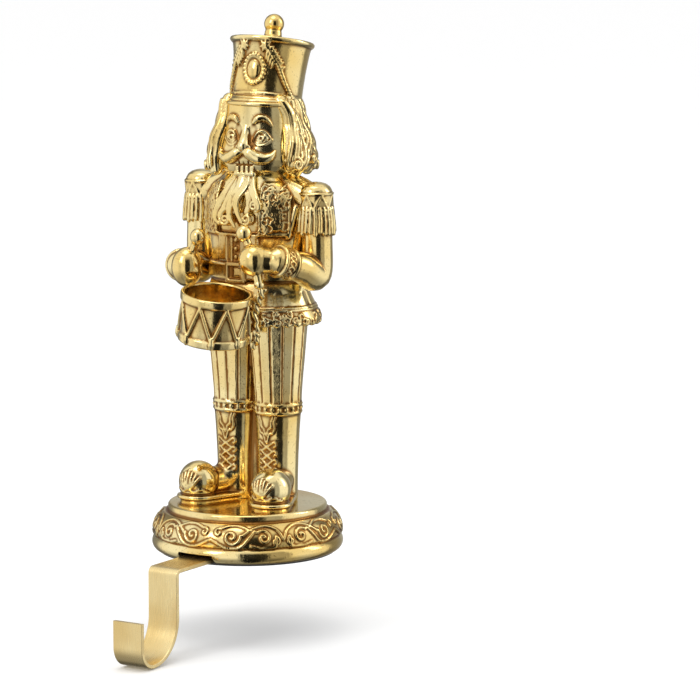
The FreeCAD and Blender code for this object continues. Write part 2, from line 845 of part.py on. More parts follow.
# Drum: an open shell with two hoops and laced cords, made upright and then tilted against the skirt.
drum_hoop_radius = size("drum_radius") + size("drum_hoop_relief")
drum_solid = fuse("drum_solid", [
    taper((0, 0, 0), size("drum_radius"), size("drum_radius"), size("drum_height")),
    taper((0, 0, 0), drum_hoop_radius, drum_hoop_radius, size("drum_hoop")),
    taper((0, 0, size("drum_height") - size("drum_hoop")), drum_hoop_radius, drum_hoop_radius,
          size("drum_hoop")),
] + zigzag((0, 0), size("drum_radius") + size("drum_cord") / 4, size("drum_hoop") / 2,
           size("drum_height") - size("drum_hoop") / 2, int(SIZES["drum_periods"]), size("drum_cord")))
drum = doc.addObject("Part::Cut", "drum")
drum.Base = drum_solid
drum.Tool = taper((0, 0, size("drum_height") - size("drum_depth")), size("drum_radius") - size("drum_wall"),
                  size("drum_radius") - size("drum_wall"), size("drum_depth") * 2)
place(drum, (-size("drum_offset"), -size("drum_forward"), waist - size("drum_drop")),
      f"rotation(0; {written(size('drum_side_tilt'))}; {written(size('drum_front_tilt'))})")


# Head: a barrel face with brows, eyes, a straight nose, moustache, two rows of teeth and a curled beard.
face_y = size("head_setback")


def face_front(x, rise, proud=0):
    """A point on the face at x and a rise above the chin, standing proud of it."""
    share = rise / size("head_height")
    radius = size("jaw_radius") + (size("brow_radius") - size("jaw_radius")) * share + proud
    return (x, face_y - root(radius * radius - x * x), chin + rise)


def face_side(side):
    eye = face_front(side * size("eye_spread"), size("eye_rise"))
    brow = [
        face_front(side * (size("eye_spread") - size("eye_radius") * 1.5), size("brow_rise") - size("eye_radius")),
        face_front(side * size("eye_spread"), size("brow_rise")),
        face_front(side * (size("eye_spread") + size("eye_radius") * 1.3), size("brow_rise") - size("eye_radius")),
    ]
    lip = face_front(side * size("nose_radius") / 3, size("lip_rise"))
    droop = face_front(side * size("moustache_mid"), size("lip_rise") - size("moustache_droop"))
    tip = face_front(side * size("moustache_reach"), size("lip_rise"))
    thick, thin = size("moustache_radius"), size("moustache_radius") / 2
    return raised_line(brow, size("brow_cord")) + [
        egg(eye, size("eye_radius"), size("eye_radius") / 2, size("eye_radius") * 0.75),
        limb(lip, droop, thick * 0.8, thick),
        ball(droop, thick * 1.12),
        limb(droop, tip, thick, thin),
        ball(tip, thick * 0.7),
    ]


def teeth():
    """Two rows of square teeth in front of the jaw."""
    pieces = []
    pitch = size("tooth_width") + size("tooth_gap")
    for row in (0, 1):
        low = size("tooth_rise") + (size("tooth_height") + size("tooth_gap")) * row
        for index in (-2, -1, 0, 1):
            corner = (pitch * index + size("tooth_gap") / 2,
                      face_y - size("jaw_radius") - size("tooth_reach"), chin + low)
            pieces.append(block(corner, size("tooth_width"), size("tooth_reach") * 4, size("tooth_height")))
    return pieces


def beard():
    """Strands that leave the chin and end in spiral curls on the chest."""
    pieces = []
    root_y = face_y - size("jaw_radius")
    chest_y = back - size("chest_half_depth")
    for index in (-2, -1, 0, 1, 2):
        x = size("beard_spread") * index
        length = size("beard_length") - size("beard_cord") * index * index
        top = (x / 2, root_y, chin + size("tooth_rise"))
        low = (x, chest_y, chin - length)
        pieces.append(limb(top, low, size("beard_cord") * 1.2, size("beard_cord")))
        spiral = curl((x + size("curl_radius"), chin - length), size("curl_radius"), 180, 360, 7)
        spots = [(across, chest_y - size("curl_cord") / 2, up) for across, up in spiral]
        pieces += raised_line(spots, size("curl_cord"))
    return pieces


skull = taper((0, face_y, chin - size("head_sink")), size("jaw_radius"), size("brow_radius"),
              size("head_height") + size("head_sink") + 1)
nose_top = face_front(Size("0"), size("brow_rise") - size("eye_radius"))
nose_tip = face_front(Size("0"), size("nose_rise"), size("nose_reach"))
head = fuse("head", [skull, limb(nose_top, nose_tip, size("nose_radius") / 2, size("nose_radius")),
                     ball(nose_tip, size("nose_radius"))]
            + face_side(1) + face_side(-1) + teeth() + beard())


# Hair: a bell round the back and sides with raised locks that end in curls.
def hair_group():
    hem_level = chin + size("hair_hem_rise")
    top_level = hat_base - 2
    sweep = 360 - size("hair_gap_angle")
    first = size("hair_gap_angle") / 2 - 90
    bell = taper((0, face_y, hem_level), size("hair_hem_radius"), size("hair_top_radius"),
                 top_level - hem_level, f"rotation({written(first)}; 0; 0)", sweep)
    pieces = [bell]
    locks = int(SIZES["lock_count"])
    for index in range(locks):
        angle = first + sweep / (locks - 1) * index
        low = (size("hair_hem_radius") * cosine(angle), face_y + size("hair_hem_radius") * sine(angle), hem_level)
        high = (size("hair_top_radius") * cosine(angle), face_y + size("hair_top_radius") * sine(angle), top_level)
        curl_reach = size("hair_hem_radius") + size("hair_curl_radius") / 2
        curl = (curl_reach * cosine(angle), face_y + curl_reach * sine(angle), hem_level)
        pieces.append(limb(low, high, size("lock_hem_radius"), size("lock_top_radius")))
        pieces.append(ball(curl, size("hair_curl_radius") * 1.3))
    return fuse("hair", pieces)


hair = hair_group()


# Hat: a flared shako with a rim, a visor, a beaded medallion, two roped swags and a ball on top.
def hat_spot(angle, rise, proud=0):
    share = rise / size("hat_height")
    radius = size("hat_radius") + (size("hat_top_radius") - size("hat_radius")) * share + proud
    return (radius * cosine(angle), radius * sine(angle), rise)


def swag(side):
    """A rope from the knot by the rim down and round to the side of the brim, with a tassel beside it."""
    front = -90
    knot = hat_spot(front + side * size("knot_angle") / 2, size("knot_rise"))
    middle = hat_spot(front + side * size("knot_angle"), (size("knot_rise") + size("swag_rise")) / 2)
    foot = hat_spot(front + side * size("knot_angle") * 1.5, size("swag_rise") / 2)
    tassel = hat_spot(front + side * size("knot_angle") * 0.85, size("knot_rise") - size("tassel_length") / 2)
    return raised_line([knot, middle, foot], size("rope_cord")) + [
        ball(knot, size("knot_radius")),
        limb(knot, tassel, size("rope_cord"), size("knot_radius")),
    ]


def hat_group():
    crown = taper((0, 0, 0), size("hat_radius"), size("hat_top_radius"), size("hat_height"))
    rim = bead_ring((0, 0, size("hat_height")), size("hat_top_radius"), size("rim_cord"))
    visor = taper((0, 0, 0), size("hat_radius") + size("visor_reach"), size("hat_radius"), size("visor_height"),
                  f"rotation({written(-90 - size('visor_angle') / 2)}; 0; 0)", size("visor_angle"))
    x, y, z = hat_spot(-90, size("medallion_rise"))
    pieces = rim + [crown, visor, egg((x, y, z), size("medallion_half_width") - size("bead_radius") * 2,
                                     size("bead_radius") * 1.5,
                                     size("medallion_half_height") - size("bead_radius") * 2)]
    beads = int(SIZES["medallion_beads"])
    for index in range(beads):
        angle = 360 / beads * index
        bead_x = size("medallion_half_width") * cosine(angle)
        bead_z = z + size("medallion_half_height") * sine(angle)
        bead_y = -root(size("hat_radius") * size("hat_radius") - bead_x * bead_x) - size("bead_radius") / 2
        pieces.append(ball((bead_x, bead_y, bead_z), size("bead_radius")))
    pieces += swag(1) + swag(-1)
    neck = (0, 0, size("hat_height"))
    knob = (0, 0, size("hat_height") + size("finial_neck_height") + size("finial_radius") * 0.8)
    pieces.append(taper(neck, size("finial_neck_radius"), size("finial_neck_radius") * 0.8,
                        size("finial_neck_height") + size("finial_radius") / 2))
    pieces.append(ball(knob, size("finial_radius")))
    return place(fuse("hat", pieces), (0, size("hat_setback"), hat_base),
                 f"rotation(0; 0; {written(-size('hat_lean'))})")


hat = hat_group()


# Casting: base and figure are one resin piece.
casting = fuse("nutcracker_casting", [base, legs, coat, right_arm, left_arm, drum, head, hair, hat])

NODES = {
    "nutcracker_casting": casting,
    "hook_arm": hook_arm,
    "arm_screws": arm_screws,
    "base_pad": base_pad,
}
for name, node in NODES.items():
    node.Label = name

doc.recompute()
for thing in doc.Objects:
    if "Invalid" in thing.State or "Error" in thing.State:
        raise RuntimeError(f"{thing.Name} did not build: {thing.State}")
for name, node in NODES.items():
    if node.Shape.isNull() or not node.Shape.isValid():
        raise RuntimeError(f"{name} has no valid shape")

os.makedirs("parts", exist_ok=True)
for name, node in NODES.items():
    node.Shape.exportStep(f"parts/{name}.step")
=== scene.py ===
import math

import bmesh
import bpy
import numpy as np
from mathutils import Matrix, Vector


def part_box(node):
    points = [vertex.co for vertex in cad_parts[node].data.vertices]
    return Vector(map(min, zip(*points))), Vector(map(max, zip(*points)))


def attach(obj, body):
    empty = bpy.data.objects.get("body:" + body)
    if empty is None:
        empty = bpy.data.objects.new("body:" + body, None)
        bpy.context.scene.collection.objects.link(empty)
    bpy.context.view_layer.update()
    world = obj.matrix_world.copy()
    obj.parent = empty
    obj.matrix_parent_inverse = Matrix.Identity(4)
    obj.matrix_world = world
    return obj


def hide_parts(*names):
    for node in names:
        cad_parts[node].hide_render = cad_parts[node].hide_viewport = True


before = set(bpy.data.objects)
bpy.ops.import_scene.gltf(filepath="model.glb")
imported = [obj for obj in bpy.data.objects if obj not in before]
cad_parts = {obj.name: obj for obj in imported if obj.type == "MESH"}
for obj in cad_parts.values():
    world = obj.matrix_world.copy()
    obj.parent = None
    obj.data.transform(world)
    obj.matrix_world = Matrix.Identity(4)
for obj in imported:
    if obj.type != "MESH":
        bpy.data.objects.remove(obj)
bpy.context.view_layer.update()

# Gold leaf.
# The whole figure and its base carry thin leaf laid over a brown size, so the metal is a little mottled
# and pitted, and an orange-brown wash stays in the hollows. The same brown is painted on as shade on the
# coat's front. The plated strip shares its fine speckle.


def add_socket(group, name, direction, kind, value=None):
    socket = group.interface.new_socket(name=name, in_out=direction, socket_type=kind)
    if value is not None:
        socket.default_value = value
    return socket


def wire(tree, start, start_name, end, end_name):
    tree.links.new(start.outputs[start_name], end.inputs[end_name])


def noise_node(tree, place, scale, detail, roughness=0.5):
    node = tree.nodes.new("ShaderNodeTexNoise")
    node.inputs["Scale"].default_value = scale
    node.inputs["Detail"].default_value = detail
    node.inputs["Roughness"].default_value = roughness
    wire(tree, place, "Object", node, "Vector")
    return node


def range_node(tree, source, socket, low, high, to_low, to_high):
    node = tree.nodes.new("ShaderNodeMapRange")
    node.inputs["From Min"].default_value = low
    node.inputs["From Max"].default_value = high
    node.inputs["To Min"].default_value = to_low
    node.inputs["To Max"].default_value = to_high
    wire(tree, source, socket, node, "Value")
    return node


def make_leaf_group():
    """Pits, mottling and slow tone changes of metal leaf, as masks from 0 to 1 and a height."""
    group = bpy.data.node_groups.new("leaf_surface", "ShaderNodeTree")
    add_socket(group, "Pit Scale", "INPUT", "NodeSocketFloat", 900.0)
    add_socket(group, "Mottle Scale", "INPUT", "NodeSocketFloat", 140.0)
    for name in ("Pits", "Mottle", "Tone", "Height"):
        add_socket(group, name, "OUTPUT", "NodeSocketFloat")
    entry = group.nodes.new("NodeGroupInput")
    leave = group.nodes.new("NodeGroupOutput")
    place = group.nodes.new("ShaderNodeTexCoord")
    fine = noise_node(group, place, 900.0, 3.0, 0.6)
    wire(group, entry, "Pit Scale", fine, "Scale")
    pits = range_node(group, fine, "Fac", 0.60, 0.72, 0.0, 1.0)
    cloud = noise_node(group, place, 140.0, 4.0, 0.6)
    wire(group, entry, "Mottle Scale", cloud, "Scale")
    mottle = range_node(group, cloud, "Fac", 0.35, 0.68, 0.0, 1.0)
    slow = noise_node(group, place, 38.0, 2.0)
    tone = range_node(group, slow, "Fac", 0.35, 0.65, 0.0, 1.0)
    height = group.nodes.new("ShaderNodeMath")
    height.operation = "MULTIPLY_ADD"
    height.inputs[1].default_value = -0.8
    wire(group, pits, "Result", height, 0)
    wire(group, mottle, "Result", height, 2)
    wire(group, pits, "Result", leave, "Pits")
    wire(group, mottle, "Result", leave, "Mottle")
    wire(group, tone, "Result", leave, "Tone")
    wire(group, height, "Value", leave, "Height")
    return group


leaf_surface = make_leaf_group()


def mix_colour(tree, mask, socket, low, high):
    """Mixes two colours, each given as numbers or as another node's output, by a mask."""
    node = tree.nodes.new("ShaderNodeMix")
    node.data_type = "RGBA"
    wire(tree, mask, socket, node, "Factor")
    for name, value in (("A", low), ("B", high)):
        if isinstance(value, tuple):
            node.inputs[name].default_value = value
        else:
            tree.links.new(value, node.inputs[name])
    return node.outputs["Result"]


def make_gold_leaf():
    """Bright leaf, with the brown that a brush left in the hollows, and the same brown as painted shade where
    the mesh's mask adds a patch of shade.
    """
    bright = (0.97, 0.82, 0.43, 1)
    deep = (0.88, 0.63, 0.22, 1)
    wash_and_shade = (0.26, 0.105, 0.018, 1)
    dark_pit = (0.30, 0.17, 0.05, 1)
    material = bpy.data.materials.new("gold_leaf")
    material.use_nodes = True
    tree = material.node_tree
    shader = tree.nodes["Principled BSDF"]
    leaf = tree.nodes.new("ShaderNodeGroup")
    leaf.node_tree = leaf_surface
    leaf.inputs["Pit Scale"].default_value = 800.0
    leaf.inputs["Mottle Scale"].default_value = 260.0
    hollow_and_shade = tree.nodes.new("ShaderNodeAttribute")
    hollow_and_shade.attribute_name = "hollow_and_shade"
    toned = mix_colour(tree, leaf, "Tone", bright, deep)
    pitted = mix_colour(tree, range_node(tree, leaf, "Pits", 0, 1, 0, 0.55), "Result", toned, dark_pit)
    # Brown where the mask says: wash in the hollows, and painted shade on the coat's front.
    washed_and_shaded = mix_colour(tree, range_node(tree, hollow_and_shade, "Fac", 0.03, 0.55, 0, 0.96), "Result", pitted, wash_and_shade)
    tree.links.new(washed_and_shaded, shader.inputs["Base Color"])
    shader.inputs["Metallic"].default_value = 1.0
    rough = tree.nodes.new("ShaderNodeMath")
    rough.operation = "ADD"
    wire(tree, range_node(tree, leaf, "Mottle", 0, 1, 0.09, 0.19), "Result", rough, 0)
    wire(tree, range_node(tree, hollow_and_shade, "Fac", 0.0, 1.0, 0.0, 0.22), "Result", rough, 1)
    wire(tree, rough, "Value", shader, "Roughness")
    bump = tree.nodes.new("ShaderNodeBump")
    bump.inputs["Strength"].default_value = 0.3
    bump.inputs["Distance"].default_value = 0.00008
    wire(tree, leaf, "Height", bump, "Height")
    wire(tree, bump, "Normal", shader, "Normal")
    return material


gold_leaf = make_gold_leaf()

# Base of the casting.
# A turned round foot with a bulge, a quirk, a quarter-round carved with scrolls, and a plain top band.
# Shapes are pressed together in millimetres, joined into one skin, eased like a casting and then carved.
MM = 0.001


def ring_skin(rings):
    """Points and faces of a closed skin through rings of equal length, with a flat cap at each end."""
    rings = np.asarray(rings, float)
    rows, sides = rings.shape[:2]
    faces = []
    for row in range(rows - 1):
        for side in range(sides):
            after = (side + 1) % sides
            low, high = row * sides, (row + 1) * sides
            faces.append((low + side, low + after, high + after, high + side))
    faces.append(tuple(range(sides - 1, -1, -1)))
    faces.append(tuple((rows - 1) * sides + side for side in range(sides)))
    return rings.reshape(-1, 3), faces


def turn_matrix(lean_x=0.0, lean_y=0.0, spin=0.0):
    """A rotation about X, then Y, then Z, in degrees."""
    turn = (Matrix.Rotation(math.radians(spin), 3, "Z") @ Matrix.Rotation(math.radians(lean_y), 3, "Y")
            @ Matrix.Rotation(math.radians(lean_x), 3, "X"))
    return np.array(turn)


class Clay:
    """Closed shapes in millimetres, gathered before they're joined into one skin."""

    def __init__(self):
        self.points = []
        self.faces = []
        self.count = 0

    def add(self, points, faces, at=(0, 0, 0), turn=None):
        points = np.asarray(points, float)
        if turn is not None:
            points = points @ turn.T
        self.points.append(points + np.array(at, float))
        self.faces += [tuple(index + self.count for index in face) for face in faces]
        self.count += len(points)

    def move(self, turn, pivot=(0, 0, 0), shift=(0, 0, 0)):
        """Turns all that has been gathered about a pivot, then shifts it."""
        pivot, shift = np.array(pivot, float), np.array(shift, float)
        self.points = [(points - pivot) @ turn.T + pivot + shift for points in self.points]

    def lathe(self, profile, at=(0, 0, 0), turn=None, sides=96, squash=1.0):
        """A turned form: radius and height pairs from the lower middle to the upper middle."""
        angles = np.linspace(0, 2 * math.pi, sides, endpoint=False)
        rings = [np.stack([r * np.cos(angles), r * squash * np.sin(angles), np.full(sides, z)], axis=1)
                 for r, z in profile]
        self.add(*ring_skin(rings), at, turn)

    def ball(self, at, radii, turn=None, sides=40):
        if not hasattr(radii, "__len__"):
            radii = (radii, radii, radii)
        steps = np.linspace(-math.pi / 2 + 0.05, math.pi / 2 - 0.05, sides // 2)
        angles = np.linspace(0, 2 * math.pi, sides, endpoint=False)
        rings = [np.stack([radii[0] * math.cos(s) * np.cos(angles), radii[1] * math.cos(s) * np.sin(angles),
                           np.full(sides, radii[2] * math.sin(s))], axis=1) for s in steps]
        self.add(*ring_skin(rings), at, turn)

    def box(self, at, size, turn=None):
        half = np.array(size, float) / 2
        signs = [(-1, -1, -1), (1, -1, -1), (1, 1, -1), (-1, 1, -1),
                 (-1, -1, 1), (1, -1, 1), (1, 1, 1), (-1, 1, 1)]
        faces = [(3, 2, 1, 0), (4, 5, 6, 7), (0, 1, 5, 4), (1, 2, 6, 5), (2, 3, 7, 6), (3, 0, 4, 7)]
        self.add(np.array(signs) * half, faces, at, turn)

    def tube(self, path, radii, sides=14):
        """A round cord along points, its radius given once or point by point, with rounded ends."""
        path = np.asarray(path, float)
        if not hasattr(radii, "__len__"):
            radii = np.full(len(path), float(radii))
        tangents = np.gradient(path, axis=0)
        tangents /= np.linalg.norm(tangents, axis=1)[:, None]
        side = np.cross(tangents[0], (0.0, 0.0, 1.0))
        if np.linalg.norm(side) < 0.2:
            side = np.cross(tangents[0], (0.0, 1.0, 0.0))
        angles = np.linspace(0, 2 * math.pi, sides, endpoint=False)
        rings = []
        last = len(path) - 1
        for index, (point, along, radius) in enumerate(zip(path, tangents, radii)):
            side = side - along * np.dot(side, along)
            side /= np.linalg.norm(side)
            up = np.cross(along, side)
            circle = np.cos(angles)[:, None] * side + np.sin(angles)[:, None] * up
            ends = {0: (-0.9, -0.5, 0.0), last: (0.0, 0.5, 0.9)}.get(index, (0.0,))
            for shift in ends:
                rings.append(point + along * radius * shift + circle * radius * math.sqrt(1 - shift * shift))
        self.add(*ring_skin(rings))

    def oval_stack(self, ovals, sides=120):
        """A body through level ellipses given as middle y, height, half width and half depth."""
        angles = np.linspace(0, 2 * math.pi, sides, endpoint=False)
        rings = [np.stack([a * np.cos(angles), y + b * np.sin(angles), np.full(sides, z)], axis=1)
                 for y, z, a, b in ovals]
        self.add(*ring_skin(rings))


def smooth_path(points, steps=8):
    """More points along a soft curve through the given ones."""
    points = np.asarray(points, float)
    padded = np.vstack([2 * points[0] - points[1], points, 2 * points[-1] - points[-2]])
    found = []
    for index in range(len(points) - 1):
        before, start, end, after = padded[index:index + 4]
        for step in range(steps):
            t = step / steps
            bend = (2 * before - 5 * start + 4 * end - after) * t ** 2
            twist = (3 * start - before - 3 * end + after) * t ** 3
            found.append(0.5 * (2 * start + (end - before) * t + bend + twist))
    found.append(points[-1])
    return np.array(found)


def spiral(turns, wide, tight, start, steps=40, way=1):
    """Flat points of a curl that winds in from a wide to a tight radius."""
    share = np.linspace(0, 1, steps)
    angle = math.radians(start) + way * share * turns * 2 * math.pi
    reach = wide + (tight - wide) * share ** 0.8
    return np.stack([reach * np.cos(angle), reach * np.sin(angle)], axis=1)


def relax(points, edges, rounds, share=0.5):
    """Eases points towards the middle of their neighbours."""
    points = points.copy()
    first, second = edges[:, 0], edges[:, 1]
    degree = np.maximum(np.bincount(edges.ravel(), minlength=len(points)), 1)[:, None]
    for _ in range(rounds):
        total = np.stack([np.bincount(first, points[second, axis], len(points))
                          + np.bincount(second, points[first, axis], len(points))
                          for axis in range(3)], axis=1)
        points += share * (total / degree - points)
    return points


def line_field(points, lines, width):
    """How near each point lies to any of the lines: 1 on a line, easing to 0 at the width."""
    near = np.zeros(len(points))
    for line in lines:
        line = np.asarray(line, float)
        low, high = line.min(0) - width, line.max(0) + width
        index = np.nonzero(np.all((points >= low) & (points <= high), axis=1))[0]
        if len(index) == 0:
            continue
        best = np.full(len(index), np.inf)
        spots = points[index]
        for start, end in zip(line[:-1], line[1:]):
            run = end - start
            along = np.clip((spots - start) @ run / max(run @ run, 1e-9), 0, 1)
            gap = spots - start - along[:, None] * run
            best = np.minimum(best, np.einsum("ij,ij->i", gap, gap))
        share = np.clip(1 - best / width ** 2, 0, 1)
        near[index] = np.maximum(near[index], share)
    return near * near * (3 - 2 * near)


casting_low, casting_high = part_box("nutcracker_casting")


def evaluated_mesh(holder):
    """The mesh that an object's modifiers make; the object itself goes."""
    bpy.context.view_layer.update()
    found = bpy.data.meshes.new_from_object(holder.evaluated_get(bpy.context.evaluated_depsgraph_get()))
    bpy.data.objects.remove(holder)
    return found


def read_rows(items, field, kind=float, width=3):
    """One field of a mesh's points, edges or attribute values, a row for each."""
    found = np.zeros(len(items) * width, kind)
    items.foreach_get(field, found)
    return found.reshape(-1, width)


def drop_inner_shells(skin):
    """Keeps the outer skin alone, because gaps closed in between the shapes leave tiny shells inside it."""
    first, second = read_rows(skin.edges, "vertices", int, 2).T
    shell_of = np.arange(len(skin.vertices))
    while np.any(shell_of[first] != shell_of[second]):
        lowest = np.minimum(shell_of[first], shell_of[second])
        np.minimum.at(shell_of, shell_of[first], lowest)
        np.minimum.at(shell_of, shell_of[second], lowest)
        shell_of = shell_of[shell_of]
    inner = np.nonzero(shell_of != np.bincount(shell_of).argmax())[0]
    if len(inner):
        cleaned = bmesh.new()
        cleaned.from_mesh(skin)
        cleaned.verts.ensure_lookup_table()
        bmesh.ops.delete(cleaned, geom=[cleaned.verts[index] for index in inner], context="VERTS")
        cleaned.to_mesh(skin)
        cleaned.free()


def thin_out(skin, triangles):
    """Drops the points that flat and even places don't need."""
    holder = bpy.data.objects.new(skin.name + "_close", skin)
    bpy.context.scene.collection.objects.link(holder)
    fewer = holder.modifiers.new("fewer", "DECIMATE")
    fewer.ratio = min(1.0, triangles / (2 * len(skin.polygons)))
    fewer.use_collapse_triangulate = True
    return evaluated_mesh(holder)


def cast(name, clay, voxel, triangles, ease=2, raised=(), sunk=(), trim=None, painted_shade=None):
    """Joins the clay into one skin, eases and trims it, raises and sinks lines, and marks its hollows and
    painted shade.

    Raised and sunk lines come with the distance that they reach to each side and their height or depth.
    Painted shade is more of the hollows' brown round a middle, by its reach along each axis and its strength.
    """
    rough = bpy.data.meshes.new(name + "_rough")
    rough.from_pydata([tuple(p) for p in np.vstack(clay.points)], [], clay.faces)
    holder = bpy.data.objects.new(name + "_rough", rough)
    bpy.context.scene.collection.objects.link(holder)
    remesh = holder.modifiers.new("skin", "REMESH")
    remesh.mode = "VOXEL"
    remesh.voxel_size = voxel
    skin = evaluated_mesh(holder)
    drop_inner_shells(skin)
    edges = read_rows(skin.edges, "vertices", int, 2)
    points = relax(read_rows(skin.vertices, "co"), edges, ease)
    if trim is not None:
        points = trim(points)

    def normals():
        skin.vertices.foreach_set("co", points.ravel())
        skin.update()
        return read_rows(skin.vertices, "normal")

    lift = np.zeros(len(points))
    for lines, width, height in raised:
        lift += height * line_field(points, lines, width)
    for lines, width, depth in sunk:
        lift -= depth * line_field(points, lines, width)
    points = points + normals() * lift[:, None]
    facing = normals()
    wash_and_shade = np.zeros(len(points))
    # A few rounds of easing find the fine hollows and many find the broad ones. Each has its full depth.
    for rounds, full in ((6, 0.10), (40, 0.36)):
        sunk_by = np.einsum("ij,ij->i", relax(points, edges, rounds) - points, facing)
        wash_and_shade = np.maximum(wash_and_shade, np.clip(sunk_by / full, 0, 1))
    wash_and_shade = relax(np.repeat(wash_and_shade[:, None], 3, axis=1), edges, 1)[:, 0]
    # Painted shade: the hollows' brown laid on a patch round a middle, where shade falls between parts.
    if painted_shade is not None:
        middle, reach, amount = painted_shade
        away = np.linalg.norm((points - np.array(middle)) / np.array(reach), axis=1)
        wash_and_shade = np.maximum(wash_and_shade, amount * np.clip(1.3 - away, 0, 1))
    mask = skin.attributes.new("hollow_and_shade", "FLOAT", "POINT")
    mask.data.foreach_set("value", wash_and_shade.astype(np.float32))
    # The close mesh's own normals go along, so that the thinner one shades and mirrors as it did.
    shading = skin.attributes.new("facing", "FLOAT_VECTOR", "POINT")
    shading.data.foreach_set("vector", facing.ravel().astype(np.float32))
    skin = thin_out(skin, triangles)
    skin.name = name
    points = read_rows(skin.vertices, "co")
    points = np.clip(points, np.array(casting_low) / MM, np.array(casting_high) / MM) * MM
    skin.vertices.foreach_set("co", points.ravel())
    facing = read_rows(skin.attributes["facing"].data, "vector")
    facing /= np.maximum(np.linalg.norm(facing, axis=1), 1e-6)[:, None]
    skin.attributes.remove(skin.attributes["facing"])
    skin.polygons.foreach_set("use_smooth", np.ones(len(skin.polygons), bool))
    skin.update()
    skin.normals_split_custom_set_from_vertices(facing)
    skin.materials.clear()
    skin.materials.append(gold_leaf)
    skin.update()
    piece = bpy.data.objects.new(name, skin)
    bpy.context.scene.collection.objects.link(piece)
    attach(piece, "root")
    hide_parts("nutcracker_casting")


base_foot = casting_low.z / MM
base_height = 22.0
base_top = base_foot + base_height
ovolo_radius, ovolo_rise, ovolo_size = 34.3, 9.0, 10.5


def arc_points(middle, radius, start, end, steps):
    angles = np.radians(np.linspace(start, end, steps))
    return [(middle[0] + radius * math.cos(a), middle[1] + radius * math.sin(a)) for a in angles]


def base_profile():
    """The turned outline from the underside out and up to the top face."""
    bulge = arc_points((41.2, 3.6), 4.3, -56, 62, 9)
    ovolo = arc_points((ovolo_radius, ovolo_rise), ovolo_size, -6, 60, 12)
    band = [(38.0, 18.1), (37.4, 18.4), (37.8, 18.9), (37.8, 21.2), (37.0, base_height), (0.2, base_height)]
    return [(0.2, 0.0), (39.5, 0.0)] + bulge + [(42.9, 7.6), (42.9, 7.9)] + ovolo + band


def on_ovolo(angle, lift):
    """A point on the carved quarter-round, by angle round the base and height share up it, 0 to 1."""
    turn = math.radians(-4 + 60 * lift)
    radius = ovolo_radius + ovolo_size * math.cos(turn)
    return (radius * math.cos(math.radians(angle)), radius * math.sin(math.radians(angle)),
            base_foot + ovolo_rise + ovolo_size * math.sin(turn))


degrees_per_mm = 1.31


def ovolo_line(points, angle, flip):
    """Lays flat points, in millimetres across and height shares, on the quarter-round."""
    return np.array([on_ovolo(angle + flip * across * degrees_per_mm, lift) for across, lift in points])


def curl_at(across, lift, turns, wide, tight, start, way=1):
    """A curl on the quarter-round, wound in from its wide to its tight radius."""
    return [(across + x, lift + y / ovolo_size) for x, y in spiral(turns, wide, tight, start, 34, way)]


def stem(points, steps=8):
    return [tuple(point) for point in smooth_path(points, steps)]


def scroll_motif():
    """One run of the carving: a long S-scroll, a smaller scroll under it, a tendril and a foot scroll."""
    upper = stem([(-17.0, 0.30), (-14.5, 0.72), (-9.0, 0.95), (-3.0, 0.82), (2.0, 0.50)], 10)
    upper += curl_at(7.2, 0.44, 1.35, 4.2, 0.7, 172)
    lower = curl_at(-7.8, 0.40, 1.3, 3.9, 0.7, 40)[::-1]
    lower += stem([(-3.6, 0.70), (-0.6, 0.36), (3.2, 0.02), (9.0, -0.04), (17.0, 0.30)])
    tendril = stem([(-2.0, 0.70), (3.0, 0.94), (7.8, 0.96), (12.0, 0.82)])
    tendril += curl_at(13.6, 0.62, 0.9, 2.2, 0.6, 120, -1)
    foot = curl_at(-13.4, 0.22, 0.9, 2.2, 0.6, 100)[::-1]
    foot += stem([(-13.4, 0.0), (-8.0, -0.06), (-2.0, 0.06)])
    return [upper, lower, tendril, foot]


channel_half, channel_height, channel_end = 8.8, 2.2, 20
mouth_half, mouth_height, mouth_start = 10.4, 4.0, -33


def notch_for_strip(points):
    """Lifts the underside over the strip, and higher at the front where the strip comes out."""
    x, y, z = points.T
    channel = channel_height * np.clip((channel_half - np.abs(x)) / 0.4, 0, 1) * (y < channel_end)
    mouth = mouth_height * np.clip((mouth_half - np.abs(x)) / 1.2, 0, 1) * (y < mouth_start)
    points[:, 2] = np.maximum(z, base_foot + np.maximum(channel, mouth))
    return points


base_clay = Clay()
base_clay.lathe([(r, z + base_foot) for r, z in base_profile()], sides=160)
scroll_lines = []
motif_count, first_motif = 8, -57
for index in range(motif_count):
    angle = first_motif + 360 / motif_count * index
    flip = 1 if index % 2 else -1
    scroll_lines += [ovolo_line(line, angle, flip) for line in scroll_motif()]
cast("carved_base", base_clay, voxel=0.45, triangles=135000, raised=[(scroll_lines, 0.78, 0.62)],
     trim=notch_for_strip)

# Legs, boots and shoes.
# Round-toed shoes on thin soles carry tall laced boots with a beaded cuff, and striped trousers above
# them taper up to the coat. The legs are cast joined at the back of the gap between them.
leg_x, leg_y = 11.6, 9.0
toe_x, toe_y, toe_r, toe_rise = 20.5, -11.0, 9.7, 9.4
heel_r = 8.4
boot_top, hem_z = base_top + 44.5, base_top + 84.0
panels, panel_phase = 14, 3.5
cuff_beads = 20


def sole_points(grow, low, high):
    """A sole's outline: a round heel and a wider round toe with straight sides."""
    heel = np.array((leg_x, leg_y))
    toe = np.array((toe_x, toe_y))
    angles = np.linspace(0, 2 * math.pi, 72, endpoint=False)
    unit = np.stack([np.cos(angles), np.sin(angles)], axis=1)
    along = (toe - heel) / np.linalg.norm(toe - heel)
    reach = np.where((unit @ along)[:, None] > 0, toe + unit * (toe_r + grow), heel + unit * (heel_r + grow))
    return [np.column_stack([reach, np.full(72, z)]) for z in (low, high)]


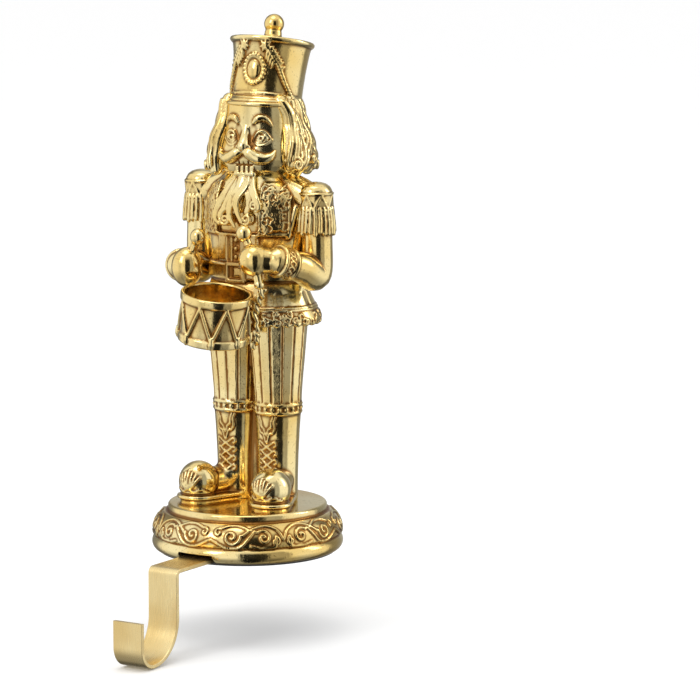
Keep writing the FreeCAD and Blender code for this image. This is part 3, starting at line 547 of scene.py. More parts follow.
def leg_side(clay, side):
    """One shoe, boot and trouser leg, mirrored for the figure's other side."""
    turn = np.diag((side, 1, 1))
    part = Clay()
    part.add(*ring_skin(sole_points(-0.9, base_top - 0.4, base_top + 1.8)))
    part.add(*ring_skin(sole_points(0.7, base_top + 1.7, base_top + 3.4)))
    part.ball((toe_x, toe_y, base_top + toe_rise), (toe_r - 0.2, toe_r, toe_r))
    part.tube([(toe_x, toe_y + 2, base_top + 8.0), ((toe_x + leg_x) / 2, 1, base_top + 8.6),
               (leg_x, leg_y - 1, base_top + 13)], [7.6, 7.0, 8.8], 40)
    shaft = [(0.2, 0), (9.3, 0), (9.4, 10), (9.7, 22), (10.3, 34), (10.9, 42.4)]
    cuff = [(11.5, 42.6), (11.9, 43.0), (11.5, 43.5), (10.9, 43.7), (10.9, 46.2), (11.5, 46.4), (11.9, 46.9),
            (11.4, 47.5), (10.9, 47.7)]
    thigh = [(0.2, 46), (11.3, 46), (11.5, 52), (12.5, 64), (13.6, 76), (14.5, 88), (0.2, 88)]
    part.lathe([(r, z + base_top) for r, z in shaft + cuff + [(0.2, 47.8)]], (leg_x, leg_y, 0))
    part.lathe([(r, z + base_top) for r, z in thigh], (leg_x, leg_y, 0), turn_matrix(spin=panel_phase),
               panels)
    for index in range(cuff_beads):
        angle = math.radians(360 / cuff_beads * index)
        part.ball((leg_x + 10.8 * math.cos(angle), leg_y + 10.8 * math.sin(angle), boot_top + 0.5),
                  (1.15, 1.15, 1.0), sides=12)
    for points in part.points:
        clay.points.append(points @ turn.T)
    clay.faces += [tuple(i + clay.count for i in face) for face in part.faces]
    clay.count += part.count


def boot_line(side, points):
    """Lays points, in degrees off the boot's front and heights above the base, on the boot."""
    found = []
    for off, height in points:
        radius = 9.4 + (height - 4) * 0.038
        angle = math.radians(-90 + side * off)
        found.append((side * leg_x + radius * math.cos(angle), leg_y + radius * math.sin(angle),
                      base_top + height))
    return np.array(found)


lace_lines = []
for side in (-1, 1):
    notch = [(-27, 41.6), (-22, 39.0), (-23, 35.8), (-17, 33.6), (-9, 33.2), (0, 28.8),
             (9, 33.2), (17, 33.6), (23, 35.8), (22, 39.0), (27, 41.6)]
    inner = [(-20, 41.6), (-15, 39.2), (-15, 36.8), (-7, 35.6), (0, 32.6),
             (7, 35.6), (15, 36.8), (15, 39.2), (20, 41.6)]
    lace_lines += [boot_line(side, smooth_path(notch, 4)), boot_line(side, smooth_path(inner, 4))]
    for row in range(4):
        low = 12.0 + 4.3 * row
        for way in (-1, 1):
            lace_lines.append(boot_line(side, [(-way * 18, low), (0, low + 2.1), (way * 18, low + 4.3)]))
            lace_lines.append(boot_line(side, smooth_path([(way * 18, low + 4.2), (way * 26, low + 4.8),
                                                           (way * 27, low + 2.9), (way * 22, low + 2.6)], 4)))


def toe_line(side, points):
    """Lays points, in degrees across and up, on the front of the toe's ball."""
    found = []
    for across, up in points:
        a, b = math.radians(-90 + side * across), math.radians(up)
        found.append((side * toe_x + toe_r * math.cos(b) * math.cos(a),
                      toe_y + toe_r * math.cos(b) * math.sin(a), base_top + toe_rise + toe_r * math.sin(b)))
    return np.array(found)


leaf_lines = []
for side in (-1, 1):
    for fan in range(-3, 4):
        tip = (fan * 13, 40 - abs(fan) * 7)
        leaf_lines.append(toe_line(side, smooth_path([(fan * 3, -14), (fan * 9, 8), tip], 5)))
    wavy_edge = [(x, -20 + 4 * math.cos(math.radians(x * 9))) for x in range(-60, 61, 6)]
    leaf_lines.append(toe_line(side, wavy_edge))
    leaf_lines.append(toe_line(side, [(x, -27) for x in range(-70, 71, 10)]))
leg_clay = Clay()
for side in (-1, 1):
    leg_side(leg_clay, side)
leg_clay.box((0, leg_y + 1.5, base_top + 43), (8, 8, 88))


def trouser_line(side, angle):
    """A line down a trouser leg, from the coat's hem to the boot's cuff."""
    turn = math.radians(angle)
    down_leg = ((11.3, 4.2), (12.5, 19.5), (13.6, 31.5), (14.4, 42.0))
    return np.array([(side * (leg_x + radius * math.cos(turn)), leg_y + radius * math.sin(turn),
                      boot_top + rise) for radius, rise in down_leg])


seam_lines = []
for side in (-1, 1):
    for index in range(panels):
        seam_lines.append(trouser_line(side, panel_phase + 360 / panels * index))
cast("legs_and_boots", leg_clay, voxel=0.53, triangles=134000,
     raised=[(lace_lines, 0.72, 0.55), (leaf_lines, 0.75, 0.5)], sunk=[(seam_lines, 0.8, 0.5)])

# Coat.
# A tunic with a flared skirt edged in lace, a belt with a square buckle, and two brocade panels with braid
# across the chest, edged by a strap. All of it is cast relief.
skirt_height = 16.0
waist_z = hem_z + skirt_height
shoulder_z = waist_z + 54.0
coat_y = 10.5


def coat_oval(height):
    """Half width and half depth of the coat's body at a height."""
    rows = [(waist_z - 2, 24.0, 18.5), (waist_z + 15, 24.2, 18.5), (waist_z + 30, 26.2, 18.3),
            (waist_z + 44, 26.0, 17.4), (waist_z + 50, 22.5, 15.8), (waist_z + 54, 17.5, 14.0),
            (waist_z + 58, 14.0, 13.0)]
    levels = [row[0] for row in rows]
    return (float(np.interp(height, levels, [row[1] for row in rows])),
            float(np.interp(height, levels, [row[2] for row in rows])))


def on_coat(x, height, proud=0.0):
    """A point on the coat's front at a sideways place and height."""
    a, b = coat_oval(height)
    share = min(abs(x) / a, 0.995)
    return (x, coat_y - (b + proud) * math.sqrt(1 - share * share), height)


def coat_line(points, proud=0.0):
    return np.array([on_coat(x, z, proud) for x, z in points])


def skirt_rows():
    """The skirt's ovals, with the turned edge at the hem."""
    return [(coat_y, hem_z + 1.4, 29.0, 23.2), (coat_y, hem_z + 2.3, 30.7, 24.7),
            (coat_y, hem_z + 4.6, 31.0, 25.0), (coat_y, hem_z + 6.6, 30.3, 24.3),
            (coat_y, hem_z + 10.0, 28.7, 22.7), (coat_y, hem_z + 13.5, 27.0, 21.0),
            (coat_y, waist_z + 0.5, 25.6, 19.8), (coat_y, waist_z + 4.5, 24.4, 18.8)]


def round_skirt(height_share, angle, grow=0.0):
    """A point on the skirt by angle and by height from the hem, 0, to the waist, 1."""
    rows = skirt_rows()
    levels = [row[1] for row in rows]
    height = hem_z + height_share * skirt_height
    a = float(np.interp(height, levels, [row[2] for row in rows])) + grow
    b = float(np.interp(height, levels, [row[3] for row in rows])) + grow
    return (a * math.cos(math.radians(angle)), coat_y + b * math.sin(math.radians(angle)), height)


coat_clay = Clay()
coat_clay.oval_stack(skirt_rows())
coat_clay.oval_stack([(coat_y, z, *coat_oval(z)) for z in np.linspace(waist_z - 2, waist_z + 58, 22)])
belt_z = waist_z + 6.5
belt_a, belt_b = 25.4, 19.9
coat_clay.oval_stack([(coat_y, belt_z + rise, belt_a - ease, belt_b - ease)
                      for rise, ease in ((0.0, 0.4), (0.5, 0.0), (7.0, 0.0), (7.5, 0.4))])
buckle_y = coat_y - belt_b
buckle_bars = ((-4.4, 3.75, 1.7, 9.6), (4.4, 3.75, 1.7, 9.6), (0, -0.2, 10.4, 1.7), (0, 7.7, 10.4, 1.7))
for x, rise, wide, tall in buckle_bars:
    coat_clay.box((x, buckle_y, belt_z + rise), (wide, 2.4, tall))
coat_clay.box((1.6, buckle_y - 0.4, belt_z + 3.7), (4.6, 1.2, 4.0))
panel_in, panel_out = 11.5, 23.6
panel_top, panel_low = shoulder_z - 1.5, waist_z + 28.5


def front_slab(clay, x_in, x_out, z_low, z_high, proud):
    """A flat piece of cloth laid on the coat's front between two sideways places and two heights."""
    xs = np.linspace(x_in, x_out, 13)
    outline = [[on_coat(x, z, proud) for x in xs] + [on_coat(x, z, -1.5) for x in xs[::-1]]
               for z in np.linspace(z_low, z_high, 16)]
    points, faces = ring_skin(outline)
    clay.add(points, faces if x_out > x_in else [face[::-1] for face in faces])


for side in (-1, 1):
    front_slab(coat_clay, side * panel_in, side * panel_out, panel_low, panel_top, 1.9)
    front_slab(coat_clay, side * 2.2, side * (panel_in - 0.6), waist_z + 15.0, waist_z + 27.0, 1.0)
    front_slab(coat_clay, side * 5.4, side * (panel_in - 0.8), waist_z + 15.6, waist_z + 26.4, 1.7)
    strap = [(side * 25.6, shoulder_z - 3.0), (side * 24.6, shoulder_z - 14), (side * 22.6, shoulder_z - 27)]
    coat_clay.tube(smooth_path(coat_line(strap, 1.0), 6), 1.35, 14)
    hem_cord = [(side * x, panel_low - 0.4) for x in np.linspace(panel_in - 0.5, panel_out, 9)]
    coat_clay.tube(coat_line(hem_cord, 1.5), 0.8, 10)
coat_clay.tube(coat_line([(x, waist_z + 27.8) for x in np.linspace(-11, 11, 15)], 0.9), 0.9, 10)
for row in range(3):
    coat_clay.ball(on_coat(0, waist_z + 17.5 + 3.9 * row, 1.0), (1.2, 1.0, 1.2), sides=14)
collar = [(14.6 * math.cos(a), 12.0 + 14.0 * math.sin(a), shoulder_z + 0.6)
          for a in np.linspace(0, 2 * math.pi, 61)]
coat_clay.tube(collar, 1.3, 10)
for side in (-1, 1):
    slope = smooth_path([(side * 12, coat_y + 1, shoulder_z - 3.5),
                         (side * 22, coat_y + 0.5, shoulder_z - 6.5),
                         (side * 30, coat_y, shoulder_z - 10)], 6)
    coat_clay.tube(slope, np.linspace(7.5, 7.4, len(slope)), 32)
edge_lines = [np.array([round_skirt(share, angle) for angle in range(0, 365, 5)])
              for share in (0.56, 0.62)]
scallops = 32
for index in range(scallops):
    coat_clay.ball(round_skirt(0.14, 360 / scallops * index, -1.0), (1.9, 1.9, 1.3), sides=14)
random = np.random.default_rng(11)
lace_curls = []
curl_count, brocade_count = 170, 85
for _ in range(curl_count):
    wide, start, sweep = random.uniform(0.7, 1.35), random.uniform(0, 360), random.uniform(150, 330)
    angle, share = random.uniform(0, 360), random.uniform(0.17, 0.48)
    curl = [round_skirt(share + wide * math.sin(a) / skirt_height, angle + 2.1 * wide * math.cos(a))
            for a in np.radians(start + sweep * np.linspace(0, 1, 8))]
    lace_curls.append(np.array(curl))
fold_lines = [np.array([round_skirt(share, angle + 4 * math.sin(angle)) for share in (0.68, 0.82, 0.98)])
              for angle in range(0, 360, 40)]
brocade = []
for side in (-1, 1):
    for _ in range(brocade_count):
        x = side * random.uniform(panel_in + 1.0, panel_out - 1.2)
        z = random.uniform(panel_low + 1.5, panel_top - 2.0)
        wide, start, sweep = random.uniform(0.8, 1.7), random.uniform(0, 360), random.uniform(120, 290)
        arc = [(x + wide * math.cos(math.radians(start + sweep * t)),
                z + 1.25 * wide * math.sin(math.radians(start + sweep * t))) for t in np.linspace(0, 1, 7)]
        brocade.append(coat_line(arc, 1.9))
panel_lines = []
for side in (-1, 1):
    for x in (panel_in + 0.5, panel_out - 0.5):
        panel_lines.append(coat_line([(side * x, z) for z in np.linspace(panel_low, panel_top, 9)], 1.9))
    for level in range(4):
        z = panel_low + 4.5 + 5.2 * level
        bar = [(side * (panel_in - 4.5), z + 0.7), (side * (panel_in - 0.4), z + 1.0),
               (side * (panel_in + 1.2), z),
               (side * (panel_in - 0.4), z - 1.0), (side * (panel_in - 4.5), z - 0.7)]
        panel_lines.append(coat_line(bar, 0.8))
# The coat's front between the arms, behind the hands and drum, gets painted shade in the hollows' brown.
cast("coat", coat_clay, voxel=0.44, triangles=152000,
     raised=[(edge_lines, 0.75, 0.4), (lace_curls, 0.62, 0.5), (brocade, 0.6, 0.38),
             (panel_lines, 0.75, 0.45)],
     sunk=[(fold_lines, 2.4, 0.3)], painted_shade=((0, -8, waist_z + 16), (24, 16, 34), 0.3))

# Arms.
# Each sleeve hangs from a domed epaulette with a zigzag band and a fringe, bends at the elbow and ends in
# a turned cuff. The round gloved hand holds a drumstick, with its knob up and its tail below.


def arm(name, side, cap_z, wrist_z, hand_at, hand_radii, knob_at, tail_at):
    """One arm, by the heights of its epaulette and wrist and the places of its hand and drumstick."""
    clay = Clay()
    x, y = side * 32.0, coat_y
    dome = [(7.9, 3.6), (7.6, 5.2), (6.6, 6.8), (4.9, 8.0), (2.6, 8.7), (0.2, 8.9)]
    clay.lathe([(0.2, -4.0), (8.0, -4.0), (8.1, 3.2)] + dome, (x, y, cap_z), sides=80)

    def cap_point(radius, angle, rise):
        return (x + radius * math.cos(angle), y + radius * math.sin(angle), cap_z + rise)

    for level in (3.6, -3.9, -5.4):
        clay.tube([cap_point(8.2, a, level) for a in np.linspace(0, 2 * math.pi, 61)], 0.45, 8)
    teeth = 7
    for index in range(teeth * 2):
        a0, a1 = (math.radians(-90 + 180 / teeth * (index + step)) for step in (0, 1))
        low, high = (-3.5, 3.2) if index % 2 else (3.2, -3.5)
        clay.tube([cap_point(8.15, a0, low), cap_point(8.15, a1, high)], 0.5, 8)
    strands = 24
    for index in range(strands):
        a = math.radians(360 / strands * index)
        length = 14.6 + 0.8 * math.sin(index * 2.3)
        clay.tube([cap_point(7.9, a, -3), cap_point(8.4, a + 0.03, -9), cap_point(8.7, a, -length)],
                  [0.8, 1.0, 1.1], 8)
    elbow_z = waist_z + 9.5
    elbow = (side * 32.4, 9.5, elbow_z)
    wrist = np.array((side * 27.4, -13.8, wrist_z))
    bend = np.array((side * 31.2, -1.5, (elbow_z + wrist_z) / 2 + 0.3))
    sleeve = smooth_path([(x, y, cap_z - 4), (side * 32.6, 10.8, waist_z + 24), elbow, bend, wrist], 8)
    down_arm = np.linspace(0, 1, len(sleeve))
    spread = np.interp(down_arm, (0, 0.25, 0.5, 0.75, 1), (7.1, 7.2, 7.5, 7.3, 6.3))
    clay.tube(sleeve, spread, 40)
    out = (wrist - bend) / np.linalg.norm(wrist - bend)
    across = np.cross(out, (0, 0, 1.0))
    across /= np.linalg.norm(across)
    over = np.cross(across, out)

    def cuff_point(reach, radius, angle):
        return wrist + out * reach + radius * (math.cos(angle) * across + math.sin(angle) * over)

    for reach, radius, thick in ((-6.4, 6.9, 0.95), (-5.0, 6.6, 0.45), (-0.6, 6.7, 0.45), (0.8, 7.1, 0.95)):
        clay.tube([cuff_point(reach, radius, a) for a in np.linspace(0, 2 * math.pi, 49)], thick, 8)
    clay.tube([cuff_point(-6.4, 0, 0), cuff_point(0.8, 0, 0)], [6.6, 6.8], 40)
    braid = []
    braid_loops = 16
    for index in range(braid_loops):
        a0 = 2 * math.pi / braid_loops * index
        braid.append(np.array([cuff_point(-2.8 + 1.5 * math.sin(t), 6.8, a0 + 0.17 * math.cos(t))
                               for t in np.linspace(0, 5.4, 9)]))
    hand = np.array(hand_at)
    clay.tube([wrist, hand], [5.6, hand_radii[0] - 0.9], 32)
    clay.ball(hand, hand_radii, turn_matrix(spin=side * 35), 48)
    knob = np.array(knob_at)
    clay.tube([np.array(tail_at), hand, hand * 0.4 + knob * 0.6, knob], [2.3, 2.5, 1.9, 1.7], 20)
    clay.ball(np.array(tail_at), (2.5, 2.5, 2.3), sides=20)
    clay.ball(knob, (3.7, 3.7, 4.1), sides=32)
    cast(name, clay, voxel=0.36, triangles=68000, ease=3, raised=[(braid, 0.6, 0.4)])


arm("right_arm", -1, cap_z=shoulder_z - 7.0, wrist_z=waist_z + 12.5,
    hand_at=(-19.9, -20.5, waist_z + 12.8), hand_radii=(7.2, 7.4, 9.4),
    knob_at=(-13.6, -20.5, waist_z + 27.2), tail_at=(-19.2, -20.0, waist_z + 5.0))
arm("left_arm", 1, cap_z=shoulder_z - 10.0, wrist_z=waist_z + 17.5,
    hand_at=(17.8, -20.5, waist_z + 18.2), hand_radii=(7.4, 7.2, 7.6),
    knob_at=(12.2, -20.5, waist_z + 30.3), tail_at=(21.4, -21.8, waist_z + 7.2))

# Drum.
# An open shell with a flat hoop at each end and cords laced in a V between them, each V closed at its
# foot by a small leather tug. It hangs tilted against the skirt, with its twisted sling at its left side.
drum_turn = turn_matrix(lean_x=5.4, lean_y=9.0)
drum_at = (-1.6, -25.8, waist_z - 20.0)
drum = Clay()
shell = [(0.2, 0.0), (16.2, 0.0), (16.9, 0.5), (16.9, 3.6), (16.3, 4.1), (16.0, 4.3), (16.0, 19.4),
         (16.4, 19.6), (16.9, 20.0), (16.9, 23.0), (16.4, 23.5), (15.2, 23.5), (14.8, 23.0), (14.7, 10.0),
         (14.4, 9.5), (0.2, 9.5)]
drum.lathe(shell, sides=120)
periods, first_tug = 8, -60
for index in range(periods):
    low = math.radians(first_tug + 360 / periods * index)
    for way in (-1, 1):
        high = low + way * math.pi / periods
        path = [(16.4 * math.cos(low + (high - low) * t), 16.4 * math.sin(low + (high - low) * t),
                 3.6 + 15.8 * t) for t in np.linspace(0.02, 1, 9)]
        drum.tube(path, np.linspace(0.95, 0.75, 9), 10)
    tug = [(16.9 * math.cos(low), 16.9 * math.sin(low), z) for z in (5.2, 2.6, 0.8)]
    drum.tube(tug, [1.0, 1.35, 0.8], 12)
drum.move(drum_turn, shift=drum_at)


def rope(clay, path, radius, pitch):
    """Two cords twisted round a line."""
    path = smooth_path(path, 10)
    length = np.concatenate([[0], np.cumsum(np.linalg.norm(np.diff(path, axis=0), axis=1))])
    along = np.gradient(path, axis=0)
    along /= np.linalg.norm(along, axis=1)[:, None]
    side = np.cross(along, (0, 0, 1.0))
    side /= np.linalg.norm(side, axis=1)[:, None]
    up = np.cross(side, along)
    for phase in (0, math.pi):
        angle = length / pitch * 2 * math.pi + phase
        offset = np.cos(angle)[:, None] * side + np.sin(angle)[:, None] * up
        clay.tube(path + offset * radius * 0.55, radius * 0.62, 8)


sling_route = ((22.0, -20.0, 4.5), (18.6, -17.5, -0.5), (15.6, -15.6, -5.0), (14.4, -15.0, -12.0),
               (15.0, -14.6, -19.0), (12.4, -13.6, -23.5))
rope(drum, [(x, y, waist_z + rise) for x, y, rise in sling_route], 1.9, 10.0)
cast("drum", drum, voxel=0.33, triangles=78000)

# Head.
# A barrel-shaped wooden-toy face: heavy brows, round staring eyes, a straight nose over a curled
# moustache, square teeth in a block jaw, and a goatee that falls in strands to curls on the chest. It is
# turned a little on the neck.
face_y = 12.0
chin_z = shoulder_z
head_shift = np.array((1.0, 0.0, 0.0))
head_turn = turn_matrix(spin=6.0)
head_pivot = np.array((0.0, face_y, 0.0))
flatten = 0.94
eye_x, eye_rise, iris_radius = 7.8, 19.1, 1.9


def turned(lines):
    """Lines laid on the straight head, moved to the head as it is turned on the neck."""
    return [(np.asarray(line) - head_pivot) @ head_turn.T + head_pivot + head_shift for line in lines]


def face_radius(rise):
    """The barrel's radius at a height above the chin."""
    return float(np.interp(rise, (-4, -1.5, 0, 1.5, 3.5, 6, 9, 12, 16, 20, 28, 36),
                           (9.0, 12.8, 15.0, 16.8, 18.3, 19.4, 20.1, 20.2, 19.3, 18.3, 17.4, 16.6)))


def on_face(x, rise, proud=0.0):
    radius = face_radius(rise) + proud
    return (x, face_y - flatten * math.sqrt(max(radius * radius - x * x, 0.01)), chin_z + rise)


def face_line(points, proud=0.0):
    return np.array([on_face(x, z, proud) for x, z in points])


iris_lines, pupil_lines = [], []
head = Clay()
head.lathe([(0.2, -6), (7.0, -5.4)] + [(face_radius(z), z) for z in np.linspace(-4, 36, 41)] + [(0.2, 38)],
           (0, face_y, chin_z), sides=120, squash=flatten)
head.lathe([(0.2, -10), (9.5, -10), (9.5, 2), (0.2, 2)], (0, face_y, chin_z), sides=48)
for side in (-1, 1):
    brow = smooth_path(face_line([(side * 4.2, 26.4), (side * 5.8, 28.2), (side * 8.2, 28.6),
                                  (side * 10.4, 27.2), (side * 11.8, 25.0)], 0.2), 6)
    head.tube(brow, np.interp(np.linspace(0, 1, len(brow)), (0, 0.25, 0.6, 1), (0.9, 1.6, 1.35, 0.4)), 14)
    head.ball(on_face(side * eye_x, eye_rise, -1.2), (3.2, 2.0, 2.7), sides=28)
    iris = [on_face(side * eye_x + iris_radius * math.cos(a), eye_rise + iris_radius * math.sin(a), 0.7)
            for a in np.linspace(0, 2 * math.pi, 25)]
    iris_lines.append(np.array(iris))
    pupil_lines.append(face_line([(side * eye_x, 18.9), (side * eye_x, 19.3)], 0.8))
    upper_lid = smooth_path(face_line([(side * 4.3, 18.0), (side * 6.0, 21.6), (side * 9.2, 22.2),
                                       (side * 12.4, 18.6)], 0.5), 6)
    head.tube(upper_lid, np.interp(np.linspace(0, 1, len(upper_lid)), (0, 0.5, 1), (0.35, 0.7, 0.3)), 10)
    lower_lid = smooth_path(face_line([(side * 4.3, 18.0), (side * 6.6, 15.9), (side * 9.6, 16.2),
                                       (side * 12.4, 18.6)], 0.2), 6)
    head.tube(lower_lid, 0.3, 10)
    moustache = smooth_path(face_line([(side * 0.7, 13.2), (side * 3.2, 12.3), (side * 6.8, 10.1),
                                       (side * 10.4, 9.6), (side * 13.2, 11.0), (side * 14.3, 13.4)], 0.9), 8)
    thick = np.interp(np.linspace(0, 1, len(moustache)), (0, 0.2, 0.45, 0.75, 1), (1.6, 2.6, 2.9, 1.9, 0.5))
    head.tube(moustache, thick, 20)
    head.ball(on_face(side * 2.6, 15.2, 0.6), (1.6, 1.6, 1.3), sides=16)
    head.ball(on_face(side * 14.6, 10.0, -3.6), (4.2, 4.6, 5.0), sides=32)
nose = smooth_path([on_face(0, 27.0, -2.4), on_face(0, 23.0, -1.7), on_face(0, 19.0, -0.5),
                    on_face(0, 15.4, 1.1)], 5)
head.tube(nose, np.linspace(1.8, 2.8, len(nose)), 20)
head.ball(on_face(0, 15.6, 1.3), (2.9, 2.1, 2.1), sides=24)
mouth_y = face_y - 19.4 * flatten
head.box((0, mouth_y + 3.0, chin_z + 6.6), (9.2, 6.0, 7.4))
head.tube([(-4.4, mouth_y + 0.8, chin_z + 2.4), (4.4, mouth_y + 0.8, chin_z + 2.4)], 1.5, 14)
tooth_lines = [np.array([(x, mouth_y, chin_z + z) for z in (3.0, 10.4)]) for x in (-2.4, 0, 2.4)]
tooth_lines.append(np.array([(-4.6, mouth_y, chin_z + 6.6), (4.6, mouth_y, chin_z + 6.6)]))
bristle_lines, socket_lines = [], []
for side in (-1, 1):
    socket_lines.append(face_line([(side * 3.9, 23.5), (side * 3.6, 20.0), (side * 4.4, 16.2)]))
    for index in range(5):
        x = side * (5.8 + 1.5 * index)
        bristle_lines.append(face_line([(x, 27.2), (x + side * 0.7, 29.6)], 0.8))
    for index in range(4):
        x = side * (3.0 + 2.6 * index)
        bristle_lines.append(face_line([(x - side * 1.6, 12.2), (x + side * 1.6, 9.4 + 0.3 * index)], 2.0))
head.move(head_turn, head_pivot, head_shift)
chest_front = coat_y - 18.4


def beard_point(x, z, proud=0.0):
    """Beard points hang from under the jaw on to the chest."""
    share = min(max((chin_z + 1.0 - z) / 8.0, 0), 1)
    return (x, (mouth_y + 2.2) * (1 - share) + (chest_front - 1.3) * share - proud, z)


def beard_lock(points, proud, thick):
    """Three strands side by side along one wavy lock."""
    for shift in (-1.1, 0.0, 1.1):
        spread = np.interp(np.linspace(0, 1, len(points)), (0, 0.45, 1), (1.0, 1.0, 0.35)) * shift
        path = smooth_path([beard_point(x + dx, z, proud) for (x, z), dx in zip(points, spread)], 7)
        head.tube(path, np.interp(np.linspace(0, 1, len(path)), (0, 0.5, 1), (0.9, 0.95, 0.6)) * thick, 10)


# The locks are drawn at heights for a chin at 177 mm, and drop takes them to the chin's own.
drop = chin_z - 177.0
head.tube([beard_point(2.2, chin_z - 0.5, -0.8), beard_point(1.6, chin_z - 7, -1.4),
           beard_point(1.0, chin_z - 15, -1.6)], [3.6, 3.0, 1.4], 24)
for points, proud, thick in (
        ([(-0.8, 178), (-5.4, 171.2), (-9.4, 164.3), (-11.4, 158.6), (-8.8, 155.4)], 0.2, 0.9),
        ([(0.6, 178), (-1.8, 170.5), (-5.0, 164.2), (-8.0, 160.0), (-7.6, 156.6)], 0.8, 1.0),
        ([(2.0, 178), (1.8, 172.0), (-1.6, 166.0), (-2.6, 160.0), (0.2, 154.6)], 1.2, 1.0),
        ([(4.4, 178), (5.0, 173.6), (1.6, 167.7), (2.0, 162.1), (4.4, 156.9)], 1.6, 1.0),
        ([(6.4, 178), (8.2, 173.8), (11.6, 168.8), (13.4, 164.4), (12.0, 162.4)], 0.8, 1.0),
        ([(5.4, 177), (7.2, 171.0), (8.2, 166.0), (6.6, 161.6), (8.6, 157.0)], 0.4, 0.9)):
    beard_lock([(x, z + drop) for x, z in points], proud, thick)
curl_radius = 2.9
for x, z, start in ((-5.2, 158.0, 180), (6.6, 158.7, 215), (11.0, 165.0, 330)):
    centre_z = z + drop
    curl = [(x + a, chest_front - 2.4, centre_z + b) for a, b in spiral(1.4, curl_radius, 0.6, start, 34)]
    head.ball((x, chest_front - 0.4, centre_z), (curl_radius + 0.4, 1.9, curl_radius + 0.4), sides=28)
    head.tube(curl, np.linspace(0.8, 0.65, 34), 10)
cast("head_and_beard", head, voxel=0.31, triangles=160000, raised=[(turned(bristle_lines), 0.5, 0.22)],
     sunk=[(turned(tooth_lines), 0.55, 0.8), (turned(socket_lines), 2.6, 0.4),
           (turned(iris_lines), 0.5, 0.45), (turned(pupil_lines), 0.8, 0.6)])

# Hair.
# Thick locks fall from under the hat round the sides and back of the head, swell outwards and end in
# big curls at collar height, each lock cut with wavy strands.
hair = Clay()
hat_z = chin_z + 34.0


def hair_reach(share):
    """Distance from the head's middle down a lock, from the hat, 0, to the curl, 1."""
    return float(np.interp(share, (0, 0.15, 0.4, 0.65, 0.85, 1), (16.2, 17.6, 19.6, 22.4, 23.6, 22.6)))


def hair_angle(start, share):
    """Locks beside the face draw back round the cheek and swing forward to their curls."""
    beside_face = max(math.cos(math.radians((start + 90) * 0.9)), 0)
    swing = 20 * math.sin(math.pi * min(share * 1.15, 1)) * beside_face
    return start + swing if start < 90 else start - swing


def lock_path(start, offset, drop, out, phase):
    """A wavy way down the head from the hat, by the lock's bearing and a strand's offset in degrees."""
    points = []
    for share in np.linspace(0, 1, 17):
        wave = (1.2 + 2.6 * share) * math.sin(share * 2 * math.pi * 1.3 + phase)
        a = math.radians(hair_angle(start, share) + offset * (0.8 + 0.5 * share) + wave)
        ripple = 0.55 * math.sin(share * 2 * math.pi * 2.0 + phase * 1.7)
        reach = hair_reach(share) + out + ripple
        points.append((reach * math.cos(a), face_y + reach * math.sin(a), hat_z + 2.0 - share * drop))
    return points


locks = 17
first_lock, last_lock = -27.0, 209.0
for index in range(locks):
    start = first_lock + (last_lock - first_lock) / (locks - 1) * index
    drop = 31.0 + 2.0 * math.sin(index * 2.1)
    phase = index * 1.9
    body = lock_path(start, 0, drop, out=-1.6, phase=phase)
    hair.tube(body, np.interp(np.linspace(0, 1, len(body)), (0, 0.4, 0.8, 1), (3.4, 4.0, 4.4, 3.0)), 18)
    for strand in (-1.5, -0.5, 0.5, 1.5):
        thin = lock_path(start, strand * 4.0, drop - 0.8 * abs(strand), out=2.1 - 0.35 * strand * strand,
                         phase=phase)
        hair.tube(thin, np.interp(np.linspace(0, 1, len(thin)), (0, 0.5, 0.9, 1), (0.9, 1.1, 0.95, 0.5)), 10)
    if index % 2 == 0:
        a = math.radians(hair_angle(start, 1) + (4 if start < 90 else -4))
        out = np.array((math.cos(a), math.sin(a), 0.0))
        across = np.array((-math.sin(a), math.cos(a), 0.0))
        middle = np.array((0, face_y, hat_z + 4.2 - drop)) + out * (hair_reach(1) + 1.2)
        way = -1 if start < 90 else 1
        turns = [middle + across * u * way + np.array((0, 0, 1.0)) * v
                 + out * (math.sqrt(13.7 - u * u - v * v) - 0.6) for u, v in spiral(1.5, 3.5, 0.6, 60, 34)]
        hair.ball(middle - out * 0.9, 3.6, sides=32)
        hair.tube(turns, np.linspace(1.0, 0.7, 34), 10)
hair.move(head_turn, head_pivot, head_shift)
cast("hair", hair, voxel=0.36, triangles=111000)

# Hat.
# A tall shako that flares to a rolled rim, with a narrow visor, an oval medallion in a ring of beads,
# leafy knots by the rim with roped swags that fall to the sides, and a ball finial on a short neck.
hat = Clay()
hat_lean = -10.5
hat_turn = turn_matrix(lean_x=hat_lean) @ turn_matrix(spin=7.0)
hat_at = np.array((1.2, 15.8, hat_z))


def hat_radius(rise):
    return float(np.interp(rise, (-4, 0, 8, 16, 24, 29), (16.2, 16.4, 16.6, 17.1, 18.0, 18.9)))


def on_hat(angle, rise, proud=0.0):
    a = math.radians(angle)
    radius = hat_radius(rise) + proud
    return (radius * math.cos(a), radius * math.sin(a), rise)


crown = [(0.2, -3.0)] + [(hat_radius(z), z) for z in np.linspace(-3, 27, 16)]
rim = [(18.9, 27.3), (19.6, 27.7), (20.1, 28.6), (19.9, 29.6), (19.2, 30.0), (17.8, 29.8), (16.9, 29.5),
       (7.8, 29.8), (7.2, 30.4), (5.2, 30.9), (4.2, 31.9), (3.9, 34.2), (0.2, 34.4)]
finial_rise, finial_radius = 37.6, 4.75
hat.lathe(crown + rim, sides=128)
hat.ball((0, 0, finial_rise), finial_radius, sides=40)
visor_reach = 4.4
for step, thick in ((0.0, 1.1), (0.3, 1.2), (0.6, 1.2), (1.0, 1.15)):
    lip = []
    for a in range(-172, -7, 4):
        middle = max(math.cos(math.radians((a + 90) * 1.09)), 0)
        lip.append(on_hat(a, 1.6 - visor_reach * step * middle ** 0.7,
                          visor_reach * step * middle ** 0.8 - 0.4))
    hat.tube(lip, thick, 12)
